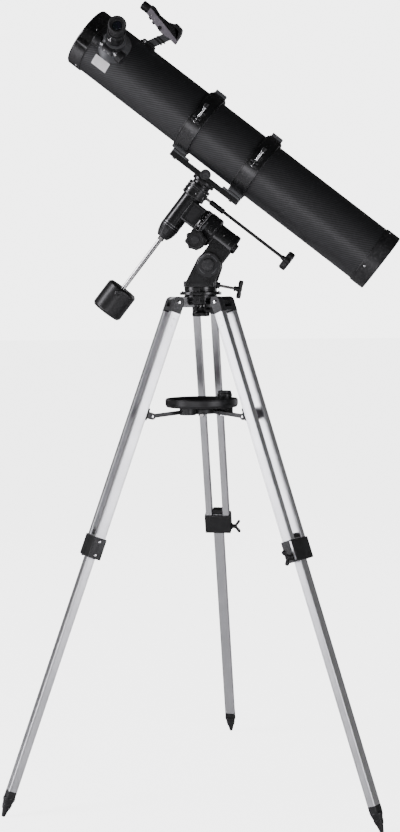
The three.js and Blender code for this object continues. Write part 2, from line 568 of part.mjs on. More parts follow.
function polarHousing(frame) {
  const head = rod(HOUSING_RADIUS, HOUSING_STEP, HOUSING_TOP, FINE);
  const tail = rod(HOUSING_TAIL_RADIUS, HOUSING_END, HOUSING_STEP + 1, MEDIUM);
  const half = CHEEK_GAP / 2 - RUN;
  const lugRadius = CHEEK_RADIUS - 1;
  const lug = block(-POLAR_OVER_PIVOT, -8, -half, half, HOUSING_END, -PIVOT_BACK + lugRadius);
  const barrel = alongY(rod(lugRadius, -half, half, MEDIUM)).translate(-POLAR_OVER_PIVOT, 0, -PIVOT_BACK);
  const wormBox = block(RA_WORM_X - 12, -14, -27, 24, RA_WORM_Z - 12, HOUSING_TOP);
  const wormNeck = alongY(rod(9, -38, -26)).translate(RA_WORM_X, 0, RA_WORM_Z);
  const wormCover = alongY(rod(22, -45, -HOUSING_RADIUS - 0.5, MEDIUM)).translate(RA_WORM_X, 0, RA_WORM_Z);
  const cap = rod(POLAR_CAP_RADIUS, HOUSING_END - 7, HOUSING_END + 1);
  const shaftBore = rod(POLAR_SHAFT_RADIUS + RUN, HOUSING_END + 3.5, HOUSING_TOP + 1);
  const wheelRoom = rod(RA_WHEEL_RADIUS + RUN, RA_WORM_Z - RA_WHEEL_WIDTH / 2 - RUN, HOUSING_TOP + 1, MEDIUM);
  const wormBore = alongY(rod(RA_WORM_RADIUS + RUN, -29, 21, SMALL)).translate(RA_WORM_X, 0, RA_WORM_Z);
  const stemBore = alongY(rod(RA_STEM_RADIUS + RUN, -50, -25, SMALL)).translate(RA_WORM_X, 0, RA_WORM_Z);
  const pivotBore = alongY(rod(PIVOT_BOLT_RADIUS + RUN, -half - 1, half + 1))
    .translate(-POLAR_OVER_PIVOT, 0, -PIVOT_BACK);
  const whole = join(head, tail, lug, barrel, wormBox, wormNeck, wormCover, cap);
  piece(frame, 'polar_housing', cut(whole, shaftBore, wheelRoom, wormBore, stemBore, pivotBore), casting);
}

function polarDrive(frame) {
  const half = RA_WHEEL_WIDTH / 2;
  piece(frame, 'ra_worm_wheel',
    ring(RA_WHEEL_RADIUS, POLAR_SHAFT_RADIUS + RUN, RA_WORM_Z - half, RA_WORM_Z + half), brass);
  const knobFar = -RA_KNOB_REACH;
  const knobNear = knobFar + RA_KNOB_WIDTH;
  const worm = rod(RA_WORM_RADIUS, -27, 19, SMALL);
  const stem = rod(RA_STEM_RADIUS, knobNear - 1, -26, SMALL);
  const knob = join(lobedKnob(RA_KNOB_RADIUS, knobFar, knobNear, 8), worm, stem);
  piece(frame, 'ra_slow_motion_knob', alongY(knob).translate(RA_WORM_X, 0, RA_WORM_Z), moulding);
}

function polarShaft(frame) {
  piece(frame, 'polar_shaft', rod(POLAR_SHAFT_RADIUS, HOUSING_END + 4, -DEC_SHAFT_RADIUS - 3 * RUN), steel);
  const low = HOUSING_TOP + RUN;
  piece(frame, 'ra_setting_circle', ring(CIRCLE_RADIUS, COLLAR_RADIUS + RUN, low, low + CIRCLE_HEIGHT), glossBlack);
}

function declinationHousing(frame) {
  const barrel = alongX(rod(DEC_RADIUS, DEC_LOW, DEC_BAND_START + 1, MEDIUM));
  const band = alongX(rod(DEC_BAND_RADIUS, DEC_BAND_START, DEC_HIGH, MEDIUM));
  const neckFoot = HOUSING_TOP + RUN + CIRCLE_HEIGHT + RUN;
  const neck = block(-21, 33, -25, 25, neckFoot, -8);
  const collar = rod(COLLAR_RADIUS, HOUSING_TOP + RUN, neckFoot + 1, MEDIUM);
  const wormBoss = rod(DEC_HIGH - DEC_WORM_X, -24, 20).translate(DEC_WORM_X, DEC_WORM_Y, 0);
  const shaftBore = alongX(rod(DEC_SHAFT_RADIUS + RUN, DEC_LOW - 1, DEC_HIGH + 1));
  const half = DEC_WHEEL_WIDTH / 2;
  const wheelRoom = alongX(rod(DEC_WHEEL_RADIUS + RUN, DEC_WORM_X - half - RUN, DEC_HIGH + 1, MEDIUM));
  const wormBore = rod(DEC_WORM_RADIUS + RUN, -16, 15, SMALL).translate(DEC_WORM_X, DEC_WORM_Y, 0);
  const stemBore = rod(DEC_STEM_RADIUS + RUN, -40, -15, SMALL).translate(DEC_WORM_X, DEC_WORM_Y, 0);
  const polarBore = rod(POLAR_SHAFT_RADIUS + SEAT, HOUSING_TOP - 1, -DEC_SHAFT_RADIUS - 2 * RUN);
  const whole = join(barrel, band, neck, collar, wormBoss);
  piece(frame, 'declination_housing', cut(whole, shaftBore, wheelRoom, wormBore, stemBore, polarBore), casting);
  const bore = WEIGHT_SHAFT_RADIUS + SEAT;
  const seat = DEC_LOW - SEAT;
  const cap = turned([[bore, DEC_CAP_END], [DEC_CAP_RADIUS, DEC_CAP_END], [DEC_RADIUS - 4, DEC_CAP_END + 12],
    [DEC_RADIUS, seat - 8], [DEC_RADIUS, seat], [bore, seat], [bore, DEC_CAP_END]]);
  piece(frame, 'declination_end_cap', alongX(cap), moulding);
}

function declinationDrive(frame) {
  const half = DEC_WHEEL_WIDTH / 2;
  piece(frame, 'dec_worm_wheel',
    alongX(ring(DEC_WHEEL_RADIUS, DEC_SHAFT_RADIUS + RUN, DEC_WORM_X - half, DEC_WORM_X + half)), brass);
  const face = -DEC_BAND_RADIUS;
  const end = face - DEC_ROD_LENGTH;
  const knob = lobedKnob(DEC_KNOB_RADIUS, end, end + DEC_KNOB_WIDTH, 8);
  const neck = rod(6, end + DEC_KNOB_WIDTH - 1, end + DEC_KNOB_WIDTH + 11, MEDIUM, 5);
  const shaft = rod(DEC_ROD_RADIUS, end + DEC_KNOB_WIDTH, face - 40, SMALL);
  const coupling = rod(6.5, face - 50, face - 10, MEDIUM);
  const stem = rod(DEC_STEM_RADIUS, face - 12, -14, SMALL);
  const worm = rod(DEC_WORM_RADIUS, -15, 14, SMALL);
  const control = join(knob, neck, shaft, coupling, stem, worm);
  piece(frame, 'dec_slow_motion_control', control.translate(DEC_WORM_X, DEC_WORM_Y, 0), moulding);
}

function declinationHead(frame) {
  const shaft = rod(DEC_SHAFT_RADIUS, DEC_LOW + RUN, DEC_HIGH + 3);
  const lower = rod(DEC_BAND_RADIUS, DEC_HIGH + RUN, DEC_HIGH + 7, MEDIUM);
  const waist = rod(DEC_BAND_RADIUS - 6, DEC_HIGH + 6, HEAD_TOP - 6, MEDIUM);
  const upper = rod(DEC_BAND_RADIUS, HEAD_TOP - 7, HEAD_TOP, MEDIUM);
  piece(frame, 'declination_head', alongX(join(shaft, lower, waist, upper)), casting);
}

function counterweightGroup(frame) {
  const bottom = WEIGHT_TOP - WEIGHT_LENGTH;
  const shaft = rod(WEIGHT_SHAFT_RADIUS, bottom + 3, DEC_LOW - SEAT, MEDIUM);
  piece(frame, 'counterweight_shaft', alongX(shaft), chrome);
  const bore = WEIGHT_SHAFT_RADIUS + RUN;
  const body = turned([[bore, bottom], [WEIGHT_RADIUS - 4, bottom], [WEIGHT_RADIUS, bottom + 4],
    [WEIGHT_RADIUS, WEIGHT_TOP - 4], [WEIGHT_RADIUS - 4, WEIGHT_TOP], [bore, WEIGHT_TOP], [bore, bottom]], FINE);
  const screwX = WEIGHT_TOP - 15;
  const hole = alongY(rod(LOCK_SCREW_RADIUS + RUN, -WEIGHT_RADIUS - 1, -2, SMALL)).translate(screwX, 0, 0);
  piece(frame, 'counterweight', cut(alongX(body), hole), casting);
  const shank = rod(LOCK_SCREW_RADIUS, -WEIGHT_RADIUS - 3, -bore - 1, SMALL);
  const head = rod(7, -WEIGHT_RADIUS - 9, -WEIGHT_RADIUS - RUN, MEDIUM);
  piece(frame, 'counterweight_lock_screw', alongY(join(shank, head)).translate(screwX, 0, 0), moulding);
}

// ---- Tube: its own frame has +Z towards the front of the tube and -X towards the mount ----
const BAR_BOTTOM = HEAD_TOP + SEAT - TUBE_OFFSET;
const BAR_SEAT = -CLAMP_OUTER - CLAMP_FOOT_HEIGHT;

function mountingBar(tube) {
  const half = BAR_WIDTH / 2;
  const [front, rear] = BAR_ENDS;
  const bar = block(BAR_BOTTOM, BAR_BOTTOM + BAR_HEIGHT, -half, half, rear, front);
  const blocks = CLAMP_STATIONS.map((z, i) => {
    const end = BAR_ENDS[i];
    const inner = z - Math.sign(end) * (CLAMP_WIDTH / 2 + 12);
    return block(BAR_BOTTOM, BAR_SEAT - SEAT, -half, half, Math.min(end, inner), Math.max(end, inner));
  });
  const clampBolt = alongY(rod(12.5, -half - 12, -half + 2, MEDIUM)).translate(BAR_BOTTOM + BAR_HEIGHT, 0, 14);
  piece(tube, 'mounting_bar', join(bar, ...blocks, clampBolt), casting);
}

const EAR_Y = -(CLAMP_OUTER + EAR_REACH - 8);
const KNUCKLE_Y = CLAMP_OUTER + 5.3;
const SPLIT = 0.2; // half of the gap between the two halves of a tube ring

function halfRing(side) {
  const band = ring(CLAMP_OUTER, CLAMP_INNER, -CLAMP_WIDTH / 2, CLAMP_WIDTH / 2, FINE);
  const reach = CLAMP_OUTER + 1;
  const [x0, x1] = side < 0 ? [-reach, -SPLIT] : [SPLIT, reach];
  const [e0, e1] = side < 0 ? [-SPLIT - EAR_THICKNESS, -SPLIT] : [SPLIT, SPLIT + EAR_THICKNESS];
  const ear = block(e0, e1, -CLAMP_OUTER - EAR_REACH, -CLAMP_OUTER + 2.5, -EAR_WIDTH / 2, EAR_WIDTH / 2);
  return join(common(band, block(x0, x1, -reach, reach, -CLAMP_WIDTH, CLAMP_WIDTH)), ear);
}

function tubeRing(tube, z, name) {
  const place = groupAt(tube, 0, 0, z);
  const half = CLAMP_WIDTH / 2;
  const knuckle = (z0, z1) => rod(5, z0, z1, SMALL).translate(0, KNUCKLE_Y, 0);
  const web = (x0, x1, z0, z1) => block(x0, x1, CLAMP_OUTER - 2.5, KNUCKLE_Y, z0, z1);
  const footBlank = block(BAR_SEAT, -CLAMP_INNER - 2, -BAR_WIDTH / 2 + 2, BAR_WIDTH / 2 - 2, -half, half);
  const footBlock = cut(footBlank, rod(CLAMP_OUTER - 1, -half - 1, half + 1, FINE));
  const pin = rod(2, -half + 1, half - 1, SMALL).translate(0, KNUCKLE_Y, 0);
  const notch = join(
    alongX(rod(CLAMP_SCREW_RADIUS + 0.6, -20, 20, SMALL)).translate(0, EAR_Y, 0),
    block(-20, 20, EAR_Y - 30, EAR_Y, -CLAMP_SCREW_RADIUS - 0.6, CLAMP_SCREW_RADIUS + 0.6),
  );
  const lower = join(halfRing(-1), footBlock, knuckle(-6, 6), web(-5, -SPLIT, -6, 6), pin);
  piece(place, `${name}_lower_half`, cut(lower, notch), casting);

  const screwHole = alongX(rod(CLAMP_SCREW_RADIUS + RUN, -1, 20, SMALL)).translate(0, EAR_Y, 0);
  const pinHole = rod(2 + RUN, -half - 1, half + 1, SMALL).translate(0, KNUCKLE_Y, 0);
  const sides = [[6 + RUN, half - 1], [-half + 1, -6 - RUN]];
  const knuckles = sides.flatMap(([z0, z1]) => [knuckle(z0, z1), web(SPLIT, 5, z0, z1)]);
  const platform = block(CLAMP_OUTER - 2.5, CLAMP_OUTER + 11, -12, 12, -14, 14);
  const upper = cut(join(halfRing(1), platform, ...knuckles), pinHole, screwHole);
  piece(place, `${name}_upper_half`, upper, casting);

  const shank = alongX(rod(CLAMP_SCREW_RADIUS, -EAR_THICKNESS - 1.5, CLAMP_SCREW_REACH + 1, SMALL));
  const head = block(CLAMP_SCREW_REACH, CLAMP_SCREW_REACH + 12, -5.5, 5.5, -11, 11);
  piece(place, `${name}_screw`, join(shank, head).translate(0, EAR_Y, 0), chrome);
}

const FOCUSER_TURN = FOCUSER_TILT - 90;

// The focuser's own frame: +X out along the drawtube, +Z towards the front of the tube.
function focuserFrame(tube) {
  const frame = groupAt(tube, 0, 0, FOCUSER_Z);
  frame.rotation.z = rad(FOCUSER_TURN);
  return frame;
}

function opticalTube(tube) {
  const shell = ring(TUBE_RADIUS, TUBE_RADIUS - TUBE_WALL, -TUBE_END, TUBE_END, FINE);
  const port = alongX(rod(DRAWTUBE_RADIUS + 3, 0, TUBE_RADIUS + 5, MEDIUM));
  piece(tube, 'optical_tube', cut(shell, port.rotateZ(rad(FOCUSER_TURN)).translate(0, 0, FOCUSER_Z)), carbonFinish);

  const end = TUBE_LENGTH / 2;
  const bore = TUBE_RADIUS + RUN;
  const lip = bore - 5;
  piece(tube, 'front_ring', turned([[bore, end - FRONT_RING_LENGTH], [END_RING_RADIUS, end - FRONT_RING_LENGTH],
    [END_RING_RADIUS, end - 2], [END_RING_RADIUS - 2, end], [lip, end], [lip, end - END_PLATE],
    [bore, end - END_PLATE], [bore, end - FRONT_RING_LENGTH]], FINE), glossBlack);
  piece(tube, 'rear_cell', turned([[0, -end], [END_RING_RADIUS - 2, -end], [END_RING_RADIUS, -end + 2],
    [END_RING_RADIUS, -end + REAR_RING_LENGTH], [bore, -end + REAR_RING_LENGTH], [bore, -end + END_PLATE],
    [0, -end + END_PLATE]], FINE), glossBlack);
}

function mirrors(tube) {
  const seat = -TUBE_LENGTH / 2 + END_PLATE + SEAT;
  piece(tube, 'primary_mirror', turned([[0, seat], [MIRROR_RADIUS, seat], [MIRROR_RADIUS, seat + MIRROR_THICKNESS],
    [0, seat + MIRROR_THICKNESS - 1.8]], FINE), glass);

  const tilt = (geometry) => geometry.rotateY(rad(135));
  const secondary = tilt(rod(SECONDARY_RADIUS, -SECONDARY_THICKNESS, 0, MEDIUM));
  const cutter = tilt(rod(50, -SECONDARY_THICKNESS - SEAT, 70, SMALL));
  const holder = cut(rod(12, -14, 36, MEDIUM), cutter);
  const reach = TUBE_RADIUS - TUBE_WALL - RUN;
  const vanes = Array.from({ length: VANE_COUNT }, (_, i) => block(6, reach, -0.6, 0.6, 20, 33)
    .rotateZ(rad(60 + (i * 360) / VANE_COUNT)));
  const place = groupAt(tube, 0, 0, FOCUSER_Z);
  place.rotation.z = rad(FOCUSER_TURN);
  piece(place, 'secondary_mirror', secondary, glass);
  piece(place, 'secondary_spider', join(holder, ...vanes), moulding);
}

function focuser(tube) {
  const frame = focuserFrame(tube);
  const top = PINION_REACH + 12;
  const rim = TUBE_RADIUS - 2.5; // the flange's flat edge ends here and its cone starts
  const flange = join(rod(FLANGE_RADIUS, rim - 27, rim, MEDIUM),
    rod(FLANGE_RADIUS, rim, rim + 17, MEDIUM, DRAWTUBE_RADIUS + 7),
    rod(DRAWTUBE_RADIUS + 5, rim + 13, top, MEDIUM));
  const pinionBox = block(PINION_REACH - 12, PINION_REACH + 10, -PINION_OFFSET - 8, -DRAWTUBE_RADIUS + 4, -14, 14);
  const tubeRoom = rod(TUBE_RADIUS + SEAT, -FLANGE_RADIUS - 20, FLANGE_RADIUS + 20, FINE);
  const drawBore = alongX(rod(DRAWTUBE_RADIUS + RUN, rim - 37, top + 1, MEDIUM));
  const pinionBore = rod(PINION_RADIUS + RUN, -20, 20, SMALL).translate(PINION_REACH, -PINION_OFFSET, 0);
  piece(frame, 'focuser_base', cut(join(alongX(flange), pinionBox), tubeRoom, drawBore, pinionBore), casting);

  const drawtube = join(ring(DRAWTUBE_RADIUS, DRAWTUBE_BORE, TUBE_RADIUS - 9.5, DRAWTUBE_END - 13, MEDIUM),
    ring(DRAWTUBE_RADIUS + 2.5, DRAWTUBE_BORE, DRAWTUBE_END - 15, DRAWTUBE_END, MEDIUM));
  piece(frame, 'focuser_drawtube', alongX(drawtube), moulding);

  const grips = [-1, 1].map((side) => {
    const a = FOCUS_KNOB_START;
    const b = FOCUS_KNOB_START + FOCUS_KNOB_WIDTH;
    return side < 0 ? rod(FOCUS_KNOB_RADIUS, -b, -a, MEDIUM) : rod(FOCUS_KNOB_RADIUS, a, b, MEDIUM);
  });
  const axle = rod(PINION_RADIUS, -FOCUS_KNOB_START - 1, FOCUS_KNOB_START + 1, SMALL);
  piece(frame, 'focus_knobs', join(axle, ...grips).translate(PINION_REACH, -PINION_OFFSET, 0), moulding);

  const eyepiece = eyepieceBody(DRAWTUBE_END + SEAT, 30, 18, 22, 20.5, SMALL);
  piece(frame, 'eyepiece', alongX(eyepiece), rubber);
}

// The red-dot finder: side outline of [height above the tube, place along it], with its round front barrel.
function finder(tube) {
  const half = FINDER_HALF_WIDTH;
  const outline = (points, y0, y1) => profileXZ(
    points.map(([rise, along]) => [TUBE_RADIUS + rise, FINDER_Z + along]), y0, y1);
  const shoe = cut(block(TUBE_RADIUS - 9.5, TUBE_RADIUS + 9.5, -9, 9, FINDER_Z - 20, FINDER_Z + 20),
    rod(TUBE_RADIUS + SEAT, FINDER_Z - 30, FINDER_Z + 30, FINE));
  const stalk = outline([[7.5, -13], [44.5, -35], [44.5, -13], [7.5, 8]], -5, 5);
  const body = outline([[40.5, -51], [76.5, -44], [80.5, -27], [74.5, -22], [70.5, 12], [79.5, 35], [79.5, 45],
    [56.5, 45], [54.5, 34], [42.5, -5], [40.5, -43]], -half, half);
  const barrel = rod(11, FINDER_Z + 30, FINDER_Z + 67, MEDIUM).translate(TUBE_RADIUS + 68, 0, 0);
  piece(tube, 'red_dot_finder', join(shoe, stalk, body, barrel), moulding);
}

// ---- The whole telescope ----
function buildTripod(parent) {
  tripodHub(parent);
  LEG_AZIMUTHS.forEach((azimuth, i) => {
    const name = `leg_${i + 1}`;
    const frame = legFrame(parent, azimuth);
    legShoulder(frame, name);
    upperLeg(frame, name);
    kneeClamp(frame, name);
    wingScrew(frame, name);
    lowerLeg(frame, name);
    foot(frame, name);
    spreaderArm(parent, azimuth, `spreader_arm_${i + 1}`);
  });
  spreaderHub(parent);
  accessoryTray(parent);
  trayEyepiece(parent);
  azimuthLockKnob(parent);
}

function buildMount(parent) {
  fixedBase(parent);
  latitudeBolt(parent);
  latitudePivotBolt(parent);
  const polar = polarFrame(parent);
  polarHousing(polar);
  polarDrive(polar);
  polarShaft(polar);
  declinationHousing(polar);
  declinationDrive(polar);
  declinationHead(polar);
  counterweightGroup(polar);
  return polar;
}

function buildTube(polar) {
  const tube = groupAt(polar, TUBE_OFFSET, 0, TUBE_SHIFT);
  mountingBar(tube);
  CLAMP_STATIONS.forEach((z, i) => tubeRing(tube, z, ['front_clamp', 'rear_clamp'][i]));
  opticalTube(tube);
  mirrors(tube);
  focuser(tube);
  finder(tube);
}

const telescope = new THREE.Group();
buildTripod(telescope);
buildTube(buildMount(telescope));

telescope.updateMatrixWorld(true);
const extent = new THREE.Box3().setFromObject(telescope, true);
const middle = extent.getCenter(new THREE.Vector3());
telescope.position.set(-middle.x, -middle.y, -extent.min.z);

export default telescope;
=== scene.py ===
# %% [markdown]
# # A Newtonian telescope on its tripod
# The object is a reflector telescope: an open-fronted tube with a curved mirror at
# its lower end, held in two rings on a German equatorial mount, on a folding
# aluminium tripod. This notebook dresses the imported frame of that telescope: each
# rigid body gets detailed geometry that rides on it, so every joint still works.

# %% Load the frame
import json
import math
import bmesh
import bpy
from mathutils import Matrix, Vector


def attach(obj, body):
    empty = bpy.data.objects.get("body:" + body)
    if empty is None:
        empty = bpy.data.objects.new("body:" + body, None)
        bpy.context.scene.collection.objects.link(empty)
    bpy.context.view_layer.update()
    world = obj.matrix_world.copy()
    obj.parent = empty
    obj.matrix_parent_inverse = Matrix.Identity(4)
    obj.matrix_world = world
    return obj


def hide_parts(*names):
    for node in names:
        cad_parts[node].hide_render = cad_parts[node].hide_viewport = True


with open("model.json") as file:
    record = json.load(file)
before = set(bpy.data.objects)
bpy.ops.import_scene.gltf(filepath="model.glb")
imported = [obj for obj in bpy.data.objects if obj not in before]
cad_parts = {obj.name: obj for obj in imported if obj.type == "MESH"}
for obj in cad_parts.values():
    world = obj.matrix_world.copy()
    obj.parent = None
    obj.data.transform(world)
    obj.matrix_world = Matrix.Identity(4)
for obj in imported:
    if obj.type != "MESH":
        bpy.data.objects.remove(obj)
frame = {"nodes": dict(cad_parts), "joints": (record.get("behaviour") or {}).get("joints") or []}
joints = {joint["name"]: joint for joint in frame["joints"]}
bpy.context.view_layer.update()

# %% [markdown]
# ## Where things are
# The sizes below are in millimetres, as on a drawing of the telescope, and each
# group of pieces is drawn in the frame of the part it belongs to: a leg is drawn
# with its hinge at the origin and its length along Z, whatever its splay. One could
# model everything in place instead, but then no number would be readable.

# %% Local frames, in millimetres, taken from the joints
MM = 0.001


def turn(degrees, axis):
    return Matrix.Rotation(math.radians(degrees), 4, axis)


def move(x, y, z):
    return Matrix.Translation((x, y, z))


def axes_at(origin, x, z):
    """Millimetre frame at origin, with +X along x and +Z along z."""
    x, z = Vector(x).normalized(), Vector(z).normalized()
    rotation = Matrix((x, z.cross(x), z)).transposed().to_4x4()
    return Matrix.Translation(origin) @ rotation @ Matrix.Scale(MM, 4)


def pos(name):
    return Vector(joints[name]["pos_m"])


def axis(name):
    return Vector(joints[name]["axis"]).normalized()


UP = Vector((0, 0, 1))
HINGE_HEIGHT = 1172.36
HUB_TOP = 1188.36
AXES_CROSSING_TO_TUBE = move(181, 0, -10)
FOCUSER_TURN = turn(-73.5, "Z")

TRIPOD = axes_at(pos("azimuth_turn") - UP * HUB_TOP * MM, (1, 0, 0), UP)
POLAR = axes_at(pos("ra_turn"), axis("dec_turn"), axis("ra_turn"))
TUBE = POLAR @ AXES_CROSSING_TO_TUBE
FOCUSER = TUBE @ move(0, 0, 353) @ FOCUSER_TURN
LEGS, ARMS = [], []
for number in (1, 2, 3):
    hinge, along = axis(f"leg_{number}_fold"), axis(f"leg_{number}_extend")
    LEGS.append(axes_at(pos(f"leg_{number}_fold"), hinge.cross(along), along))
    level = axes_at(pos(f"spreader_arm_{number}_fold"), hinge.cross(UP), UP)
    ARMS.append(level @ turn(5, "Y"))
LAY_X = turn(90, "Y")
LAY_Y = turn(-90, "X")
PLATE_XZ = turn(90, "X")
print("frames at", [tuple(round(v, 3) for v in m.translation) for m in (TRIPOD, POLAR, TUBE)])

# %% [markdown]
# ## Shapes
# Nearly all of a telescope is turned on a lathe, cast with rounded edges, or
# extruded. So three makers do most of the work: an outline swept round an axis, an
# outline pushed up with softened rims, and a cut that takes one shape out of
# another. Every outline corner can carry a radius, because a real machined or cast
# corner is never perfectly sharp, and that small radius is what catches the light.

# %% Outlines with rounded corners
CORNER_STEPS = 4


def rounded(points, closed=True):
    """Corners (x, y) or (x, y, radius), as a smooth outline."""
    smooth = []
    for i, point in enumerate(points):
        corner = Vector(point[:2])
        at_end = not closed and i in (0, len(points) - 1)
        if len(point) < 3 or point[2] <= 0 or at_end:
            smooth.append(corner)
            continue
        before = Vector(points[i - 1][:2]) - corner
        after = Vector(points[(i + 1) % len(points)][:2]) - corner
        half = before.angle(after) / 2
        reach = min(point[2] / math.tan(half), 0.49 * before.length, 0.49 * after.length)
        start, end = corner + before.normalized() * reach, corner + after.normalized() * reach
        for k in range(CORNER_STEPS + 1):
            s = k / CORNER_STEPS
            smooth.append(start * (1 - s) ** 2 + corner * 2 * s * (1 - s) + end * s ** 2)
    return smooth


# %% Turned shapes
def turned(points, steps=64, hollow=False, lobes=0, depth=0.0):
    """Sweeps an outline of (radius, height) corners round Z. Lobes scallop its rim."""
    outline = rounded(points, closed=hollow)
    widest = max(p.x for p in outline)
    shape, rings = bmesh.new(), []
    for p in outline:
        if p.x < 1e-6:
            rings.append([shape.verts.new((0, 0, p.y))] * steps)
            continue
        ring = []
        for i in range(steps):
            a = math.tau * i / steps
            dip = depth * (p.x / widest) ** 4 * (0.5 - 0.5 * math.cos(lobes * a))
            ring.append(shape.verts.new(((p.x - dip) * math.cos(a), (p.x - dip) * math.sin(a), p.y)))
        rings.append(ring)
    pairs = list(zip(rings, rings[1:])) + ([(rings[-1], rings[0])] if hollow else [])
    for low, high in pairs:
        for i in range(steps):
            j = (i + 1) % steps
            corners = list(dict.fromkeys((low[i], low[j], high[j], high[i])))
            if len(corners) > 2:
                shape.faces.new(corners)
    bmesh.ops.recalc_face_normals(shape, faces=shape.faces)
    return shape


def rod(radius, low, high, edge=0.6, steps=48):
    return turned([(0, low), (radius, low, edge), (radius, high, edge), (0, high)], steps)


def sleeve(outer, inner, low, high, edge=0.5, steps=64):
    corners = [(inner, low, edge), (outer, low, edge), (outer, high, edge), (inner, high, edge)]
    return turned(corners, steps, hollow=True)


# %% Flat shapes with softened rims
RIM_STEPS = 3


def slab(points, low, high, edge=0.6):
    """Pushes a closed outline up from low to high and rounds its two rims."""
    outline = rounded(points)
    area = sum(a.x * b.y - b.x * a.y for a, b in zip(outline, outline[1:] + outline[:1]))
    if area < 0:
        outline.reverse()
    n = len(outline)
    inward = []
    for i, p in enumerate(outline):
        a = (p - outline[i - 1]).normalized()
        b = (outline[(i + 1) % n] - p).normalized()
        bisector = Vector((-a.y - b.y, a.x + b.x))
        inward.append(bisector / max(0.35, 1 + a.dot(b)))
    levels = []
    for k in range(RIM_STEPS + 1):
        a = math.pi / 2 * k / RIM_STEPS
        levels.append((edge * (1 - math.sin(a)), low + edge * (1 - math.cos(a))))
    levels += [(inset, low + high - z) for inset, z in reversed(levels)]
    shape = bmesh.new()
    rings = [[shape.verts.new((*(p + d * inset), z)) for p, d in zip(outline, inward)]
             for inset, z in levels]
    shape.faces.new(rings[0])
    shape.faces.new(rings[-1])
    for below, above in zip(rings, rings[1:]):
        for i in range(n):
            j = (i + 1) % n
            shape.faces.new((below[i], below[j], above[j], above[i]))
    bmesh.ops.recalc_face_normals(shape, faces=shape.faces)
    return shape


def brick(x0, x1, y0, y1, z0, z1, edge=0.8, corner=None):
    r = edge if corner is None else corner
    return slab([(x0, y0, r), (x1, y0, r), (x1, y1, r), (x0, y1, r)], z0, z1, edge)


def prism(sides, radius, low, high, edge=0.4):
    corners = [(radius * math.cos(math.tau * i / sides), radius * math.sin(math.tau * i / sides), 0.3)
               for i in range(sides)]
    return slab(corners, low, high, edge)


def placed(shape, *matrices):
    """The same shape, moved by each matrix in turn."""
    for matrix in matrices:
        shape.transform(matrix)
    return shape


# %% Cuts, and shapes that repeat
scratch = bpy.data.collections.new("scratch")
bpy.context.scene.collection.children.link(scratch)


def as_object(shape, name):
    mesh = bpy.data.meshes.new(name)
    shape.to_mesh(mesh)
    shape.free()
    obj = bpy.data.objects.new(name, mesh)
    scratch.objects.link(obj)
    return obj


def evaluated(obj):
    """The object's mesh after its modifiers, as a plain shape."""
    graph = bpy.context.evaluated_depsgraph_get()
    mesh = bpy.data.meshes.new_from_object(obj.evaluated_get(graph))
    shape = bmesh.new()
    shape.from_mesh(mesh)
    bpy.data.meshes.remove(mesh)
    return shape


def discard(*objects):
    for obj in objects:
        mesh = obj.data
        bpy.data.objects.remove(obj)
        bpy.data.meshes.remove(mesh)


def carved(shape, *tools, how="DIFFERENCE"):
    body = as_object(shape, "carving")
    cutters = [as_object(tool, "cutter") for tool in tools]
    for cutter in cutters:
        step = body.modifiers.new("cut", "BOOLEAN")
        step.operation, step.solver, step.object = how, "MANIFOLD", cutter
    result = evaluated(body)
    discard(body, *cutters)
    return result


print("shape makers ready")

# %% [markdown]
# Screws round a flange, ribs round a knob and turns of a thread repeat one small
# shape. Copying them by hand would work once; a Geometry Nodes tree keeps the count
# and the spacing as named inputs instead, so a knob can get forty ribs or fifty.

# %% Geometry Nodes trees for what repeats
def repeating_tree(name, round_axis):
    tree = bpy.data.node_groups.new(name, "GeometryNodeTree")
    face = tree.interface
    face.new_socket("Geometry", in_out="OUTPUT", socket_type="NodeSocketGeometry")
    face.new_socket("Item", in_out="INPUT", socket_type="NodeSocketObject")
    face.new_socket("Count", in_out="INPUT", socket_type="NodeSocketInt")
    face.new_socket("Start", in_out="INPUT", socket_type="NodeSocketVector")
    face.new_socket("Step", in_out="INPUT", socket_type="NodeSocketVector")
    face.new_socket("Material", in_out="INPUT", socket_type="NodeSocketMaterial")
    new, link = tree.nodes.new, tree.links.new
    given, result = new("NodeGroupInput"), new("NodeGroupOutput")
    points, item = new("GeometryNodePoints"), new("GeometryNodeObjectInfo")
    copies, real = new("GeometryNodeInstanceOnPoints"), new("GeometryNodeRealizeInstances")
    paint, index = new("GeometryNodeSetMaterial"), new("GeometryNodeInputIndex")
    spaced, offset = new("ShaderNodeVectorMath"), new("ShaderNodeVectorMath")
    spaced.operation, offset.operation = "SCALE", "ADD"
    link(given.outputs["Count"], points.inputs["Count"])
    link(given.outputs["Item"], item.inputs["Object"])
    link(given.outputs["Step"], spaced.inputs[0])
    link(index.outputs[0], spaced.inputs["Scale"])
    link(given.outputs["Start"], offset.inputs[0])
    link(spaced.outputs[0], offset.inputs[1])
    link(points.outputs[0], copies.inputs["Points"])
    link(item.outputs["Geometry"], copies.inputs["Instance"])
    if round_axis:
        angles = new("FunctionNodeEulerToRotation")
        link(offset.outputs[0], angles.inputs[0])
        link(angles.outputs[0], copies.inputs["Rotation"])
    else:
        placing = new("GeometryNodeTranslateInstances")
        link(copies.outputs[0], placing.inputs["Instances"])
        link(offset.outputs[0], placing.inputs["Translation"])
    link((copies if round_axis else placing).outputs[0], real.inputs[0])
    link(real.outputs[0], paint.inputs["Geometry"])
    link(given.outputs["Material"], paint.inputs["Material"])
    link(paint.outputs[0], result.inputs[0])
    return tree


ROUND_TREE = repeating_tree("copies round the axis", True)
ROW_TREE = repeating_tree("copies in a row", False)


